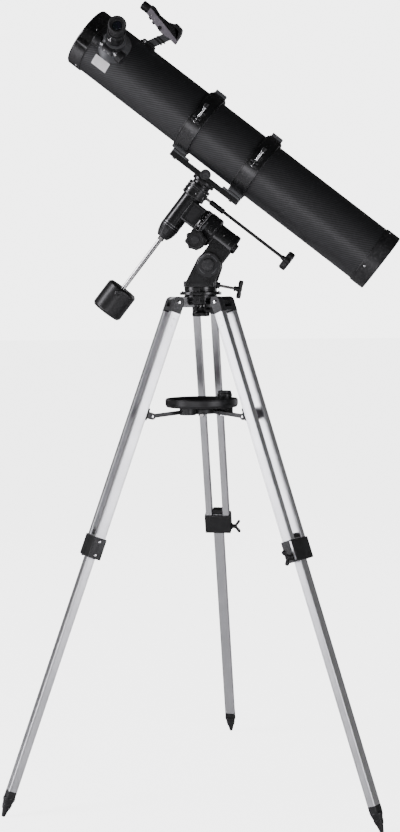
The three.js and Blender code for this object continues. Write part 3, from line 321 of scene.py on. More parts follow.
def repeated(tree, shape, count, start, step, material):
    item = as_object(shape, "item")
    host = as_object(bmesh.new(), "host")
    modifier = host.modifiers.new("repeat", "NODES")
    modifier.node_group = tree
    values = {"Item": item, "Count": count, "Start": start, "Step": step, "Material": material}
    for socket in tree.interface.items_tree:
        if socket.in_out == "INPUT":
            modifier[socket.identifier] = values[socket.name]
    host.update_tag()
    result = evaluated(host)
    discard(host, item)
    return result


def round_axis(shape, count, material, first=0.0, sweep=360.0):
    step = math.radians(sweep / count)
    return repeated(ROUND_TREE, shape, count, (0, 0, math.radians(first)), (0, 0, step), material)


def in_row(shape, count, step, material, start=(0, 0, 0)):
    return repeated(ROW_TREE, shape, count, start, step, material)


print("trees:", ROUND_TREE.name, "and", ROW_TREE.name)

# %% [markdown]
# A finished piece is one mesh with several shells: a casting, its screws, its
# washers. Each vertex remembers where it was in its own drawing, in an attribute
# named "own", so that turned lines run round the turned part and the weave of a
# film runs round its tube even when the piece is tilted or moves with a joint.

# %% Pieces that ride a body
SHARP_ANGLE = math.radians(35)


def weighted(obj):
    """Bends the normals of the rounded rims, so that flat faces shade flat."""
    obj.modifiers.new("normals", "WEIGHTED_NORMAL").keep_sharp = True
    graph = bpy.context.evaluated_depsgraph_get()
    mesh = bpy.data.meshes.new_from_object(obj.evaluated_get(graph))
    old = obj.data
    obj.modifiers.clear()
    obj.data = mesh
    bpy.data.meshes.remove(old)
    mesh.name = obj.name


def make(name, parts, place, body, nodes=()):
    """parts are (shape, material) or (shape, material, matrix), drawn in millimetres."""
    verts, faces, paints, own, materials = [], [], [], [], []
    for shape, material, *where in parts:
        matrix = place @ where[0] if where else place
        if material not in materials:
            materials.append(material)
        shape.verts.index_update()
        first = len(verts)
        own += [c * MM for v in shape.verts for c in v.co]
        verts += [matrix @ v.co for v in shape.verts]
        faces += [[first + v.index for v in f.verts] for f in shape.faces]
        paints += [materials.index(material)] * len(shape.faces)
        shape.free()
    mesh = bpy.data.meshes.new(name)
    mesh.from_pydata(verts, [], faces)
    for material in materials:
        mesh.materials.append(material)
    mesh.polygons.foreach_set("material_index", paints)
    mesh.attributes.new("own", "FLOAT_VECTOR", "POINT").data.foreach_set("vector", own)
    tidy = bmesh.new()
    tidy.from_mesh(mesh)
    bmesh.ops.recalc_face_normals(tidy, faces=tidy.faces)
    tidy.to_mesh(mesh)
    tidy.free()
    mesh.set_sharp_from_angle(angle=SHARP_ANGLE)
    obj = bpy.data.objects.new(name, mesh)
    bpy.context.scene.collection.objects.link(obj)
    weighted(obj)
    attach(obj, body)
    if nodes:
        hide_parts(*nodes)
    print(f"{name}: {len(obj.data.polygons)} faces on {body}")
    return obj


# %% [markdown]
# ## Finishes
# The telescope has few colours: black castings, black plastic, bare and anodised
# aluminium, chromed screws, and one showpiece, the tube's black woven film. What
# tells them apart is how rough they are and how their surface was worked, so those
# effects are built once as node groups and shared. A group only gives out a mask, a
# height or a vector; the shader itself stays in each material.

# %% Node helpers
def add(tree, kind, inputs=None, **props):
    """A node with its properties set and its inputs linked or filled."""
    node = tree.nodes.new(kind)
    for name, value in props.items():
        setattr(node, name, value)
    for key, value in (inputs or {}).items():
        if isinstance(value, bpy.types.NodeSocket):
            tree.links.new(value, node.inputs[key])
        else:
            node.inputs[key].default_value = value
    return node


def maths(tree, operation, a, b=0.0, clamp=False):
    return add(tree, "ShaderNodeMath", {0: a, 1: b}, operation=operation, use_clamp=clamp).outputs[0]


def ranged(tree, value, low, high, to_low=0.0, to_high=1.0):
    inputs = {"Value": value, "From Min": low, "From Max": high, "To Min": to_low, "To Max": to_high}
    return add(tree, "ShaderNodeMapRange", inputs).outputs[0]


def effect(name, inputs, output):
    """An empty shader group with named float or vector inputs and one output."""
    group = bpy.data.node_groups.new(name, "ShaderNodeTree")
    for label, default in inputs.items():
        kind = "NodeSocketFloat" if isinstance(default, float) else "NodeSocketVector"
        socket = group.interface.new_socket(label, in_out="INPUT", socket_type=kind)
        if kind == "NodeSocketFloat":
            socket.default_value = default
    group.interface.new_socket(output, in_out="OUTPUT", socket_type="NodeSocketFloat")
    return group, group.nodes.new("NodeGroupInput").outputs, group.nodes.new("NodeGroupOutput").inputs


NO_VECTOR = (0, 0, 0)

# %% Mottle: slow patches of slightly different tone
MOTTLE, given, result = effect("mottle", {"Position": NO_VECTOR, "Per metre": 40.0}, "Amount")
noise = add(MOTTLE, "ShaderNodeTexNoise", {"Vector": given["Position"], "Scale": given["Per metre"],
                                           "Detail": 5.0, "Roughness": 0.6})
MOTTLE.links.new(ranged(MOTTLE, noise.outputs[0], 0.32, 0.68), result["Amount"])

# %% Grain: the fine pebble of a moulded or powder-coated skin
GRAIN, given, result = effect("grain", {"Position": NO_VECTOR, "Per metre": 1500.0}, "Height")
cells = add(GRAIN, "ShaderNodeTexVoronoi", {"Vector": given["Position"], "Scale": given["Per metre"]},
            feature="SMOOTH_F1")
fine = add(GRAIN, "ShaderNodeTexNoise", {"Vector": given["Position"], "Scale": given["Per metre"],
                                         "Detail": 3.0})
GRAIN.links.new(maths(GRAIN, "ADD", cells.outputs[0], fine.outputs[0]), result["Height"])

# %% Edge wear: rubbed corners, broken up by noise
WEAR, given, result = effect("edge wear", {"Position": NO_VECTOR, "Amount": 0.5}, "Mask")
shape_of = add(WEAR, "ShaderNodeNewGeometry")
sharp = ranged(WEAR, shape_of.outputs["Pointiness"], 0.52, 0.62)
patchy = add(WEAR, "ShaderNodeTexNoise", {"Vector": given["Position"], "Scale": 220.0, "Detail": 6.0})
broken = ranged(WEAR, patchy.outputs[0], 0.5, 0.66)
rubbed = maths(WEAR, "MULTIPLY", maths(WEAR, "MULTIPLY", sharp, broken), given["Amount"], True)
WEAR.links.new(rubbed, result["Mask"])

# %% Dust: what settles on faces that look up
DUST, given, result = effect("dust", {"Position": NO_VECTOR, "Amount": 0.2}, "Mask")
facing = add(DUST, "ShaderNodeSeparateXYZ", {0: add(DUST, "ShaderNodeNewGeometry").outputs["Normal"]})
level = ranged(DUST, facing.outputs["Z"], 0.35, 1.0)
specks = add(DUST, "ShaderNodeTexNoise", {"Vector": given["Position"], "Scale": 900.0, "Detail": 8.0,
                                          "Roughness": 0.75})
settled = maths(DUST, "MULTIPLY", level, ranged(DUST, specks.outputs[0], 0.45, 0.75))
DUST.links.new(maths(DUST, "MULTIPLY", settled, given["Amount"], True), result["Mask"])

# %% Brushed: long scratches along one direction
BRUSHED, given, result = effect("brushed", {"Position": NO_VECTOR, "Stretch": NO_VECTOR}, "Height")
pulled = add(BRUSHED, "ShaderNodeVectorMath", {0: given["Position"], 1: given["Stretch"]},
             operation="MULTIPLY")
scratches = add(BRUSHED, "ShaderNodeTexNoise", {"Vector": pulled.outputs[0], "Scale": 1.0, "Detail": 4.0,
                                                "Roughness": 0.7})
BRUSHED.links.new(scratches.outputs[0], result["Height"])

# %% Turned: the rings a lathe tool leaves round a part's own axis
TURNED, given, result = effect("turned", {"Position": NO_VECTOR, "Per metre": 2200.0}, "Height")
part = add(TURNED, "ShaderNodeSeparateXYZ", {0: given["Position"]})
squares = [maths(TURNED, "MULTIPLY", side, side) for side in part.outputs[:2]]
reach = maths(TURNED, "SQRT", maths(TURNED, "ADD", *squares))
station = maths(TURNED, "ADD", reach, part.outputs[2])
rings = add(TURNED, "ShaderNodeTexNoise", {"W": maths(TURNED, "MULTIPLY", station, given["Per metre"]),
                                           "Scale": 1.0, "Detail": 3.0}, noise_dimensions="1D")
TURNED.links.new(rings.outputs[0], result["Height"])

# %% [markdown]
# The film on the tube is printed and pressed to look like a carbon twill: each
# thread passes over two and under two, and each row starts one thread later, which
# gives the slanting lines. The pattern is worked out from the angle round the tube
# and the distance along it, so it never stretches. One group gives which thread is
# on top, another gives how high it stands. The threads on top, which run along the
# tube, are also coloured lighter: that tone is painted sheen for the highlight they
# catch, while their lower roughness is real.

# %% Twill weave
THREAD_ROUND = 1.42
THREAD_ALONG = 2.67
TWILL_REPEAT = 4.0


def twill(name, output):
    group, given, result = effect(name, {"Position": NO_VECTOR, "Radius": 0.0695}, output)
    p = add(group, "ShaderNodeSeparateXYZ", {0: given["Position"]}).outputs
    angle = maths(group, "ARCTAN2", p[1], p[0])
    around = maths(group, "MULTIPLY", angle, given["Radius"])
    across = maths(group, "MULTIPLY", around, 1 / (THREAD_ROUND * MM))
    along = maths(group, "MULTIPLY", p[2], 1 / (THREAD_ALONG * MM))
    return group, across, along, result


def warp_on_top(group, across, along):
    step = maths(group, "ADD", maths(group, "FLOOR", across), maths(group, "FLOOR", along))
    return maths(group, "LESS_THAN", maths(group, "FLOORED_MODULO", step, TWILL_REPEAT), TWILL_REPEAT / 2)


def thread_profile(group, position):
    """Rounded across one thread: 0 at its sides, 1 in its middle."""
    return maths(group, "SINE", maths(group, "MULTIPLY", maths(group, "FRACT", position), math.pi))


WARP, across, along, result = twill("twill warp", "Mask")
WARP.links.new(warp_on_top(WARP, across, along), result["Mask"])
RELIEF, across, along, result = twill("twill relief", "Height")
top = warp_on_top(RELIEF, across, along)
warp = maths(RELIEF, "MULTIPLY", top, thread_profile(RELIEF, across))
weft = maths(RELIEF, "MULTIPLY", maths(RELIEF, "SUBTRACT", 1.0, top), thread_profile(RELIEF, along))
RELIEF.links.new(maths(RELIEF, "ADD", warp, weft), result["Height"])
print("effects:", [g.name for g in bpy.data.node_groups if g.type == "SHADER"])

# %% [markdown]
# Each finish starts from the same few steps: two close tones mixed by the mottle,
# dust on what looks up, a rubbed tone on corners, and a roughness that wanders a
# little. A flat colour would be quicker, and would look like plastic in a catalogue.

# %% Material maker
def use(tree, group, **inputs):
    node = tree.nodes.new("ShaderNodeGroup")
    node.node_tree = group
    for label, value in inputs.items():
        socket = node.inputs[label.replace("_", " ")]
        if isinstance(value, bpy.types.NodeSocket):
            tree.links.new(value, socket)
        else:
            socket.default_value = value
    return node.outputs[0]


def mixed(tree, factor, a, b):
    node = add(tree, "ShaderNodeMix", {"Factor": factor}, data_type="RGBA")
    for socket, value in ((node.inputs[6], a), (node.inputs[7], b)):
        if isinstance(value, bpy.types.NodeSocket):
            tree.links.new(value, socket)
        else:
            socket.default_value = (*value, 1.0)
    return node.outputs[2]


def finish(name, dark, light, rough, metal=0.0, worn=(), wear=0.0, dust=0.0, relief="grain", per_metre=1500.0,
           stretch=(2500, 2500, 40), depth=0.02, mottle=40.0, **shader):
    """A material from two tones, a roughness range and one kind of relief."""
    material = bpy.data.materials.new(name)
    material.use_nodes = True
    tree = material.node_tree
    principled = tree.nodes["Principled BSDF"]
    own = add(tree, "ShaderNodeAttribute", attribute_name="own").outputs["Vector"]
    patches = use(tree, MOTTLE, Position=own, Per_metre=mottle)
    colour = mixed(tree, patches, dark, light)
    if wear:
        colour = mixed(tree, use(tree, WEAR, Position=own, Amount=wear), colour, worn)
    roughness = ranged(tree, patches, 0.0, 1.0, *rough)
    if dust:
        dusty = use(tree, DUST, Position=own, Amount=dust)
        colour = mixed(tree, dusty, colour, (0.42, 0.41, 0.39))
        roughness = maths(tree, "ADD", roughness, maths(tree, "MULTIPLY", dusty, 0.4), True)
    heights = {"grain": lambda: use(tree, GRAIN, Position=own, Per_metre=per_metre),
               "brushed": lambda: use(tree, BRUSHED, Position=own, Stretch=stretch),
               "turned": lambda: use(tree, TURNED, Position=own, Per_metre=per_metre)}
    bump = add(tree, "ShaderNodeBump", {"Height": heights[relief](), "Strength": 1.0, "Distance": depth * MM})
    tree.links.new(colour, principled.inputs["Base Color"])
    tree.links.new(roughness, principled.inputs["Roughness"])
    tree.links.new(bump.outputs[0], principled.inputs["Normal"])
    principled.inputs["Metallic"].default_value = metal
    for label, value in shader.items():
        principled.inputs[label.replace("_", " ")].default_value = value
    print("finish", name)
    return material


def grey(value, tint=0.0):
    return (value * (1 + tint), value, value * (1 - tint))


# %% [markdown]
# Black enamel on the die castings is sprayed and baked: a satin gloss with a soft
# orange-peel. Moulded plastic is duller with a spark-eroded pebble from its mould.
# Gloss plastic and rubber sit at the two ends of that scale.

# %% Blacks
enamel = finish("black enamel", grey(0.005, -0.04), grey(0.009, -0.04), (0.24, 0.32), worn=grey(0.14),
                wear=0.3, dust=0.03, per_metre=420.0, depth=0.05, Coat_Weight=0.25, Coat_Roughness=0.2)
moulding = finish("moulded black", grey(0.006, -0.03), grey(0.011, -0.03), (0.36, 0.46), worn=grey(0.08),
                  wear=0.3, dust=0.04, per_metre=1700.0, depth=0.03)
gloss = finish("gloss black", grey(0.004), grey(0.007), (0.09, 0.17), worn=grey(0.1), wear=0.15, dust=0.02,
               per_metre=300.0, depth=0.02, Coat_Weight=0.5, Coat_Roughness=0.08)
rubber = finish("black rubber", grey(0.008), grey(0.014), (0.5, 0.65), worn=grey(0.05), wear=0.3, dust=0.06,
                per_metre=2200.0, depth=0.03)
inner_black = finish("matt inner black", grey(0.008), grey(0.014), (0.75, 0.9), per_metre=1200.0, depth=0.04)
shoulder_grey = finish("dark shoulder grey", grey(0.012, -0.04), grey(0.018, -0.04), (0.42, 0.52),
                       worn=grey(0.2), wear=0.4, dust=0.05, per_metre=600.0, depth=0.05)
disc_grey = finish("dark disc grey", grey(0.018, -0.03), grey(0.028, -0.03), (0.34, 0.42), worn=grey(0.2),
                   wear=0.4, relief="turned", per_metre=700.0, depth=0.02)

# %% [markdown]
# Extruded aluminium keeps faint lines along its length from the die and is then
# anodised to a pale satin silver; turned parts keep lines round their axis. Both
# are real scratches too fine to model, so they are heights in the material.

# %% Metals
anodised = finish("anodised aluminium", grey(0.76, -0.01), grey(0.84, -0.01), (0.3, 0.38), 1.0,
                  worn=grey(0.9), wear=0.2, dust=0.05, relief="brushed", depth=0.012, mottle=14.0)
satin_grey = finish("satin grey casting", grey(0.075, -0.03), grey(0.11, -0.03), (0.34, 0.44), 0.4,
                    worn=grey(0.4), wear=0.4, dust=0.04, per_metre=700.0, depth=0.04)
turned_grey = finish("turned grey", grey(0.34, -0.01), grey(0.44, -0.01), (0.26, 0.34), 0.85, worn=grey(0.7),
                     wear=0.3, relief="turned", depth=0.01)
chrome = finish("chrome", grey(0.82), grey(0.9), (0.05, 0.12), 1.0, worn=grey(0.6), wear=0.1, relief="turned",
                per_metre=900.0, depth=0.003)
steel = finish("zinc-plated steel", grey(0.42, 0.02), grey(0.56, 0.02), (0.24, 0.36), 1.0, worn=grey(0.3),
               wear=0.3, relief="turned", depth=0.008)
brass = finish("brass", (0.62, 0.42, 0.16), (0.72, 0.52, 0.22), (0.22, 0.32), 1.0, worn=(0.8, 0.66, 0.36),
               wear=0.4, relief="turned", depth=0.006)
iron = finish("satin painted iron", grey(0.006), grey(0.01), (0.34, 0.42), worn=grey(0.1), wear=0.3,
              dust=0.03, relief="turned", per_metre=500.0, depth=0.02, Coat_Weight=0.15, Coat_Roughness=0.3)
finder_side = finish("mauve-grey plastic", (0.17, 0.155, 0.175), (0.21, 0.195, 0.215), (0.4, 0.5),
                     worn=grey(0.3), wear=0.3, dust=0.1, per_metre=1500.0, depth=0.025)
white_paint = finish("white paint", grey(0.7), grey(0.8), (0.35, 0.5), per_metre=900.0, depth=0.01)
label_card = finish("label", grey(0.74, 0.01), grey(0.82, 0.01), (0.25, 0.35), per_metre=800.0, depth=0.006,
                    Coat_Weight=0.3)

# %% [markdown]
# The two telescope mirrors and the lenses are the only true optics. The mirrors are
# aluminised glass, smooth but with a breath of haze; the lenses are dark glass
# with a coating that gives off a faint green or violet.

# %% Optics
mirror = finish("aluminised mirror", grey(0.9), grey(0.93), (0.015, 0.03), 1.0, per_metre=60.0, depth=0.0005)
lens = finish("coated lens", (0.008, 0.016, 0.014), (0.014, 0.01, 0.024), (0.02, 0.05), per_metre=60.0,
              depth=0.001, mottle=90.0, Coat_Weight=1.0, Specular_Tint=(0.7, 0.9, 1.0, 1.0))

# %% Carbon-look film
film = finish("carbon film", grey(0.003), grey(0.005), (0.3, 0.36), dust=0.01, Coat_Weight=0.12,
              Coat_Roughness=0.32)
tree = film.node_tree
principled = tree.nodes["Principled BSDF"]
own = add(tree, "ShaderNodeAttribute", attribute_name="own").outputs["Vector"]
on_top = use(tree, WARP, Position=own)
base = principled.inputs["Base Color"].links[0].from_socket
# The threads on top get a lighter colour: painted sheen, standing in for the highlight they catch.
tree.links.new(mixed(tree, on_top, base, grey(0.026, -0.05)), principled.inputs["Base Color"])
tree.links.new(ranged(tree, on_top, 0.0, 1.0, 0.58, 0.36), principled.inputs["Roughness"])
relief = add(tree, "ShaderNodeBump", {"Height": use(tree, RELIEF, Position=own), "Strength": 0.7,
                                      "Distance": 0.06 * MM})
tree.links.new(relief.outputs[0], principled.inputs["Normal"])
print("film ready")

# %% [markdown]
# ## Small hardware
# Cap screws with a hexagon socket, domed rivets and hexagon nuts hold the telescope
# together. Each is drawn once, standing on the origin with its head up Z.

# %% Screws, rivets and nuts
def cap_screw(radius, height):
    head = rod(radius, 0, height, 0.25 * radius, 24)
    return carved(head, prism(6, radius * 0.52, height * 0.45, height + 1, 0.05))


def dome(radius, height):
    return turned([(0, 0), (radius, 0), (radius, 0.3 * height, 0.1), (0.75 * radius, 0.8 * height, height),
                   (0, height)], 24)


def nut(radius, low, high, bore):
    return carved(prism(6, radius, low, high), rod(bore, low - 1, high + 1, 0.1))


def arc(x, z, radius, start, end, count=24):
    angles = [math.radians(start + (end - start) * i / count) for i in range(count + 1)]
    return [(x + radius * math.cos(a), z + radius * math.sin(a)) for a in angles]


def tongue(x0, x1, radius):
    """A bar from x0 to a round end centred on x1."""
    return [(x0, -radius)] + arc(x1, 0, radius, -90, 90, 16) + [(x0, radius)]


# %% [markdown]
# ## The tripod head
# A cast drum carries three pairs of lugs for the legs and an upright pad that stops
# the mount turning on to its bolt. The lugs are pinned through with chromed bolts.
# The drum is lathe work on top of a casting, so it is turned here, with a shallow
# groove; each lug is a flat tongue with a round end, lightened by a pocket.

# %% Tripod head
LUG_REACH = 65
drum = turned([(0, 1165.4), (36, 1165.4, 1), (39, 1168.4, 2), (39, 1173, 0.3), (38.2, 1173.5, 0.3),
               (38.2, 1175, 0.3), (39, 1175.5, 0.3), (39, HUB_TOP, 1.2), (0, HUB_TOP)], 96)
head_parts = [(drum, enamel), (brick(-15, 1, -43, -33, 1168.4, 1186.4, 1.2), enamel)]
rung = brick(-13, -1, -43.6, -42.4, 1170.6, 1171.8, 0.3)
head_parts.append((in_row(rung, 5, (0, 0, 3.2), enamel), enamel))
for leg in LEGS:
    offset = (TRIPOD.inverted() @ leg).translation
    facing = move(0, 0, HINGE_HEIGHT) @ turn(math.degrees(math.atan2(offset.y, offset.x)), "Z")
    lug = placed(slab(tongue(20, LUG_REACH, 12.5), -12, 12, 1), PLATE_XZ)
    pockets = [placed(brick(42, 56, -6, 6, low, low + 3, 0.4, 2), PLATE_XZ) for low in (-13.8, 10.8)]
    head_parts.append((carved(lug, *pockets), enamel, facing))
    head_parts.append((placed(rod(3, -30.4, 30.4, 0.2, 24), LAY_Y, move(LUG_REACH, 0, 0)), steel, facing))
    head_parts.append((placed(dome(5, 2.8), turn(90, "X"), move(LUG_REACH, -30.3, 0)), chrome, facing))
    head_parts.append((placed(dome(5, 2.8), LAY_Y, move(LUG_REACH, 30.3, 0)), chrome, facing))
make("tripod_head", head_parts, TRIPOD, "tripod", ("tripod_hub",))

# %% [markdown]
# ## The legs
# A leg is two rectangular aluminium tubes side by side with a third sliding between
# them. Moulded shoulders grip the rails at the hinge and a moulded clamp holds them
# at the knee, with a wing screw that pinches the lower leg. All of it is extruded or
# moulded, so outlines pushed along Z or Y are enough, with the radii of a real die.

# %% Rails, shoulder and bracket of one upper leg
RAIL_INNER, RAIL_OUTER = 13.5, 29.5
ARM_PIVOT = (-34.29, 0, -270.25)


def rail(side):
    outer = [(-12.5, 0, 2.4), (12.5, 0, 2.4), (12.5, 16, 2.4), (-12.5, 16, 2.4)]
    extrusion = slab(outer, -598.7, -24.3, 0.2)
    flutes = [brick(x - 0.5, x + 0.5, -0.4, 0.35, -600, -20, 0.1, 0.1) for x in (-7.6, 7.6)]
    flutes += [brick(x - 0.5, x + 0.5, 15.65, 16.4, -600, -20, 0.1, 0.1) for x in (-7.6, 7.6)]
    return placed(carved(extrusion, *flutes), move(0, RAIL_INNER if side > 0 else -RAIL_OUTER, 0))


def shoulder_cheek(low, high):
    outline = [(-13, -24, 1.5), (13, -24, 1.5)] + arc(0, 0, 13, 0, 180, 24)
    return placed(slab(outline, low, high, 1.2), PLATE_XZ)


def upper_leg_parts():
    parts = [(rail(1), anodised), (rail(-1), anodised)]
    parts += [(shoulder_cheek(low, low + 17.1), shoulder_grey) for low in (-RAIL_OUTER, 12.4)]
    parts.append((brick(-13, 13, -15.5, 15.5, -24, -15, 1.2), shoulder_grey))
    for side in (1, -1):
        low, high = sorted((side * 12.9, side * 29.8))
        parts.append((brick(-13.2, 13.2, low, high, -26.5, -21, 0.8, 2.6), shoulder_grey))
        rivets = in_row(placed(dome(1.6, 0.7), LAY_Y), 2, (0, 0, -17), chrome, (0, RAIL_OUTER, -41))
        parts.append((placed(rivets, turn(0 if side > 0 else 180, "Z")), chrome))
    parts.append((brick(-16, -12.4, -RAIL_OUTER, RAIL_OUTER, -285, -255.5, 1.2, 3), moulding))
    screws = in_row(placed(cap_screw(2.6, 1.6), turn(-90, "Y")), 2, (0, 44, 0), chrome, (-15.8, -22, -270.25))
    parts.append((screws, chrome))
    return parts


# %% Arm ears and knee clamp of one upper leg
def ear(side):
    outline = [(-24, -8, 2), (-12.6, -11, 1.5), (-12.6, 11, 1.5), (-24, 8, 2)]
    outline += arc(ARM_PIVOT[0], 0, 8, 95, 265, 20)
    return placed(slab(outline, -1.8, 1.8, 0.5), PLATE_XZ, move(0, side * 6.7, ARM_PIVOT[2]))


def knee_parts():
    block = brick(-15.9, 15.9, -32.9, 32.9, -625, -575, 2, 3)
    channel = brick(-10.6, 10.6, -13, 13, -640, -560, 0.2, 2.4)
    groove = brick(-1.2, 1.2, 31.7, 34, -630, -570, 0.2)
    near_groove = brick(15, 17, -2, 2, -630, -570, 0.2)
    parts = [(carved(block, channel, groove, near_groove), moulding)]
    rivets = in_row(placed(dome(3.4, 2.2), LAY_Y), 2, (0, 0, -32), chrome, (0, 32.4, -584))
    parts.append((rivets, chrome))
    parts.append((brick(9.5, 14, -33.2, -32.5, -622, -578, 0.2), anodised))
    ribs = in_row(brick(-12, 12, -33.3, -32.6, -600, -598.8, 0.25), 5, (0, 0, 3.6), moulding, (-2, 0, 3))
    parts.append((ribs, moulding))
    return parts


for number, leg in enumerate(LEGS, 1):
    parts = upper_leg_parts() + [(ear(side), moulding) for side in (1, -1)] + knee_parts()
    parts.append((placed(rod(2, -9.6, 9.6, 0.2, 20), LAY_Y, move(*ARM_PIVOT)), chrome))
    for side in (1, -1):
        rivet = placed(dome(3.6, 1.8), turn(side * 90, "X"), move(0, -side * 8.4, 0), move(*ARM_PIVOT))
        parts.append((rivet, chrome))
    names = [f"leg_{number}_{part}" for part in ("shoulder", "rails", "knee_clamp")]
    make(f"upper_leg_{number}", parts, leg, f"leg_{number}_upper", names)

# %% Lower leg and foot
def lower_leg_parts():
    outline = [(-10, -12.5, 2.2), (10, -12.5, 2.2), (10, 12.5, 2.2), (-10, 12.5, 2.2)]
    flutes = [brick(x - 0.5, x + 0.5, y - 0.4, y + 0.4, -1210, -530, 0.1, 0.1)
              for x in (-5.5, 5.5) for y in (-12.5, 12.5)]
    parts = [(carved(slab(outline, -1203, -573, 0.2), *flutes), anodised)]
    parts.append((brick(-9.6, 9.6, -12.1, 12.1, -574, -562, 1, 2), moulding))
    shoe = [(-10.4, -12.9, 3), (10.4, -12.9, 3), (10.4, 12.9, 3), (-10.4, 12.9, 3)]
    parts.append((slab(shoe, -1205, -1188, 0.8), moulding))
    foot = turned([(0, -1231), (9.5, -1231, 1), (11.6, -1221, 1), (11, -1219.8, 0.4), (14.5, -1206, 1.5),
                   (13.5, -1203.3, 1), (0, -1203.3)], 48)
    tip = turned([(0, -1250), (4, -1250, 1.5), (8, -1232, 1), (8, -1229), (0, -1229)], 40)
    ribs = round_axis(brick(12.4, 14.2, -0.6, 0.6, -1210, -1204.5, 0.3), 24, moulding)
    parts += [(foot, moulding), (tip, rubber), (ribs, moulding)]
    return parts


for number, leg in enumerate(LEGS, 1):
    make(f"lower_leg_{number}", lower_leg_parts(), leg, f"leg_{number}_extension",
         (f"leg_{number}_lower_tube", f"leg_{number}_foot"))

# %% [markdown]
# The wing screw is moulded plastic round a chromed bolt. Its two wings lean away
# from the clamp and end in round lobes, thick enough for a cold thumb. The wings are
# flat tongues pushed up a few millimetres, on a turned boss with a flared skirt.

# %% Wing screws
def wing_parts():
    boss = turned([(0, 33.3), (8, 33.3, 0.6), (8, 35.4, 0.6), (5.2, 37.4, 1), (5.2, 40, 1), (6.8, 46.5, 2),
                   (0, 46.5)], 40)
    parts = [(boss, moulding), (rod(3, 16, 34, 0.2, 20), chrome)]
    outline = [(-4.4, 0, 1), (4.4, 0, 1), (3.4, 8, 3)] + arc(0, 15.5, 5.2, -20, 200, 20) + [(-3.4, 8, 3)]
    for side in (1, -1):
        flat = placed(slab(outline, -3, 3, 1.4), turn(180 - side * 90, "Z"))
        wing = placed(flat, turn(side * 35, "Y"), turn(90, "Z"), move(0, 0, 43))
        parts.append((wing, moulding))
    return parts


SCREW_TO_LEG = move(0, 0, -612) @ turn(90, "X")
for number, leg in enumerate(LEGS, 1):
    make(f"wing_screw_{number}", wing_parts(), leg @ SCREW_TO_LEG, f"leg_{number}_wing",
         (f"leg_{number}_wing_screw",))

# %% [markdown]
# ## The spreader and the accessory tray
# Three short arms tie the legs to a hub; a round tray screws down on them and locks
# the tripod open. The tray is one moulding: a dish with a rolled rim, a floor with
# rings, and sockets for spare eyepieces. It is lathe-like, so it is swept round Z.

# %% Arms
def arm_parts():
    length = 95.1
    bar = tongue(-length, 0, 4.5)[1:-1] + arc(-length, 0, 4.5, 90, 270, 16)
    groove = [placed(brick(-length + 12, -12, -1.4, 1.4, -0.6, 0.6, 0.2, 1), turn(90, "X"), move(0, y, 0))
              for y in (-4.5, 4.5)]
    parts = [(carved(placed(slab(bar, -4.5, 4.5, 0.8), PLATE_XZ), *groove), moulding)]
    for x in (0, -length):
        parts.append((placed(rod(2, -4.7, 4.7, 0.2, 20), LAY_Y, move(x, 0, 0)), steel))
    return parts


for number, arm in enumerate(ARMS, 1):
    make(f"arm_{number}", arm_parts(), arm, f"spreader_arm_{number}", (f"spreader_arm_{number}",))

# %% Spreader hub and tray
TRAY_SOCKETS = (238, 358, 118)
SOCKET_REACH = 55
hub = turned([(0, 909.3), (34, 909.3, 1.5), (34, 921.3, 1.5), (14, 921.3, 1), (13, 924.7, 1), (0, 924.7)], 72)
slots = [placed(brick(17, 40, -4.9, 4.9, 905, 930, 0.2), turn(azimuth, "Z")) for azimuth in (206, 326, 86)]
stud_thread = turned([(0, 0), (4.6, 0), (5, 0.45), (5, 0.55), (4.6, 1), (0, 1)], 28)
stud_threads = in_row(stud_thread, 10, (0, 0, 1), steel, (0, 0, 926))
TRAY_FLOOR = 928.0
dish = turned([(5.4, 925), (83, 925, 3), (86, 931, 2), (86, 942.6, 0.5), (84.6, 943.4, 0.4),
               (84.6, 945, 0.8), (83.4, 945, 0.8), (83.4, 931, 4), (79, TRAY_FLOOR, 1), (27, TRAY_FLOOR, 0.4),
               (26, 928.8, 0.4), (24, 928.8, 0.4), (23, TRAY_FLOOR, 0.4), (12, TRAY_FLOOR, 0.4),
               (10.5, 930, 0.5), (5.4, 930)], 128, hollow=True)
holes = [placed(rod(16.3, 920, 935, 0.1, 48), move(SOCKET_REACH, 0, 0), turn(a, "Z")) for a in TRAY_SOCKETS]
parts = [(carved(hub, *slots), moulding), (carved(dish, *holes), moulding), (stud_threads, steel),
         (rod(5, 901, 926, 0.4, 32), steel), (nut(8, 903, 910, 5), steel)]
for a in TRAY_SOCKETS:
    socket = sleeve(18.9, 16.3, 909, TRAY_FLOOR + 1.2, 0.6, 56)
    ribs = round_axis(brick(18.4, 19.3, -0.5, 0.5, 910, 925, 0.2), 16, moulding)
    parts += [(placed(socket, move(SOCKET_REACH, 0, 0), turn(a, "Z")), moulding),
              (placed(ribs, move(SOCKET_REACH, 0, 0), turn(a, "Z")), moulding)]
knurls = round_axis(brick(84.2, 85.9, -0.6, 0.6, 933, 942, 0.3), 12, moulding, 15)
parts.append((knurls, moulding))
make("tray", parts, TRIPOD, "spreader", ("spreader_hub", "accessory_tray"))

# %% [markdown]
# A spare eyepiece stands in one socket. Its chromed barrel drops in, and its black
# body has a ring of grip ribs and a soft folded rim. The glass is set just inside.

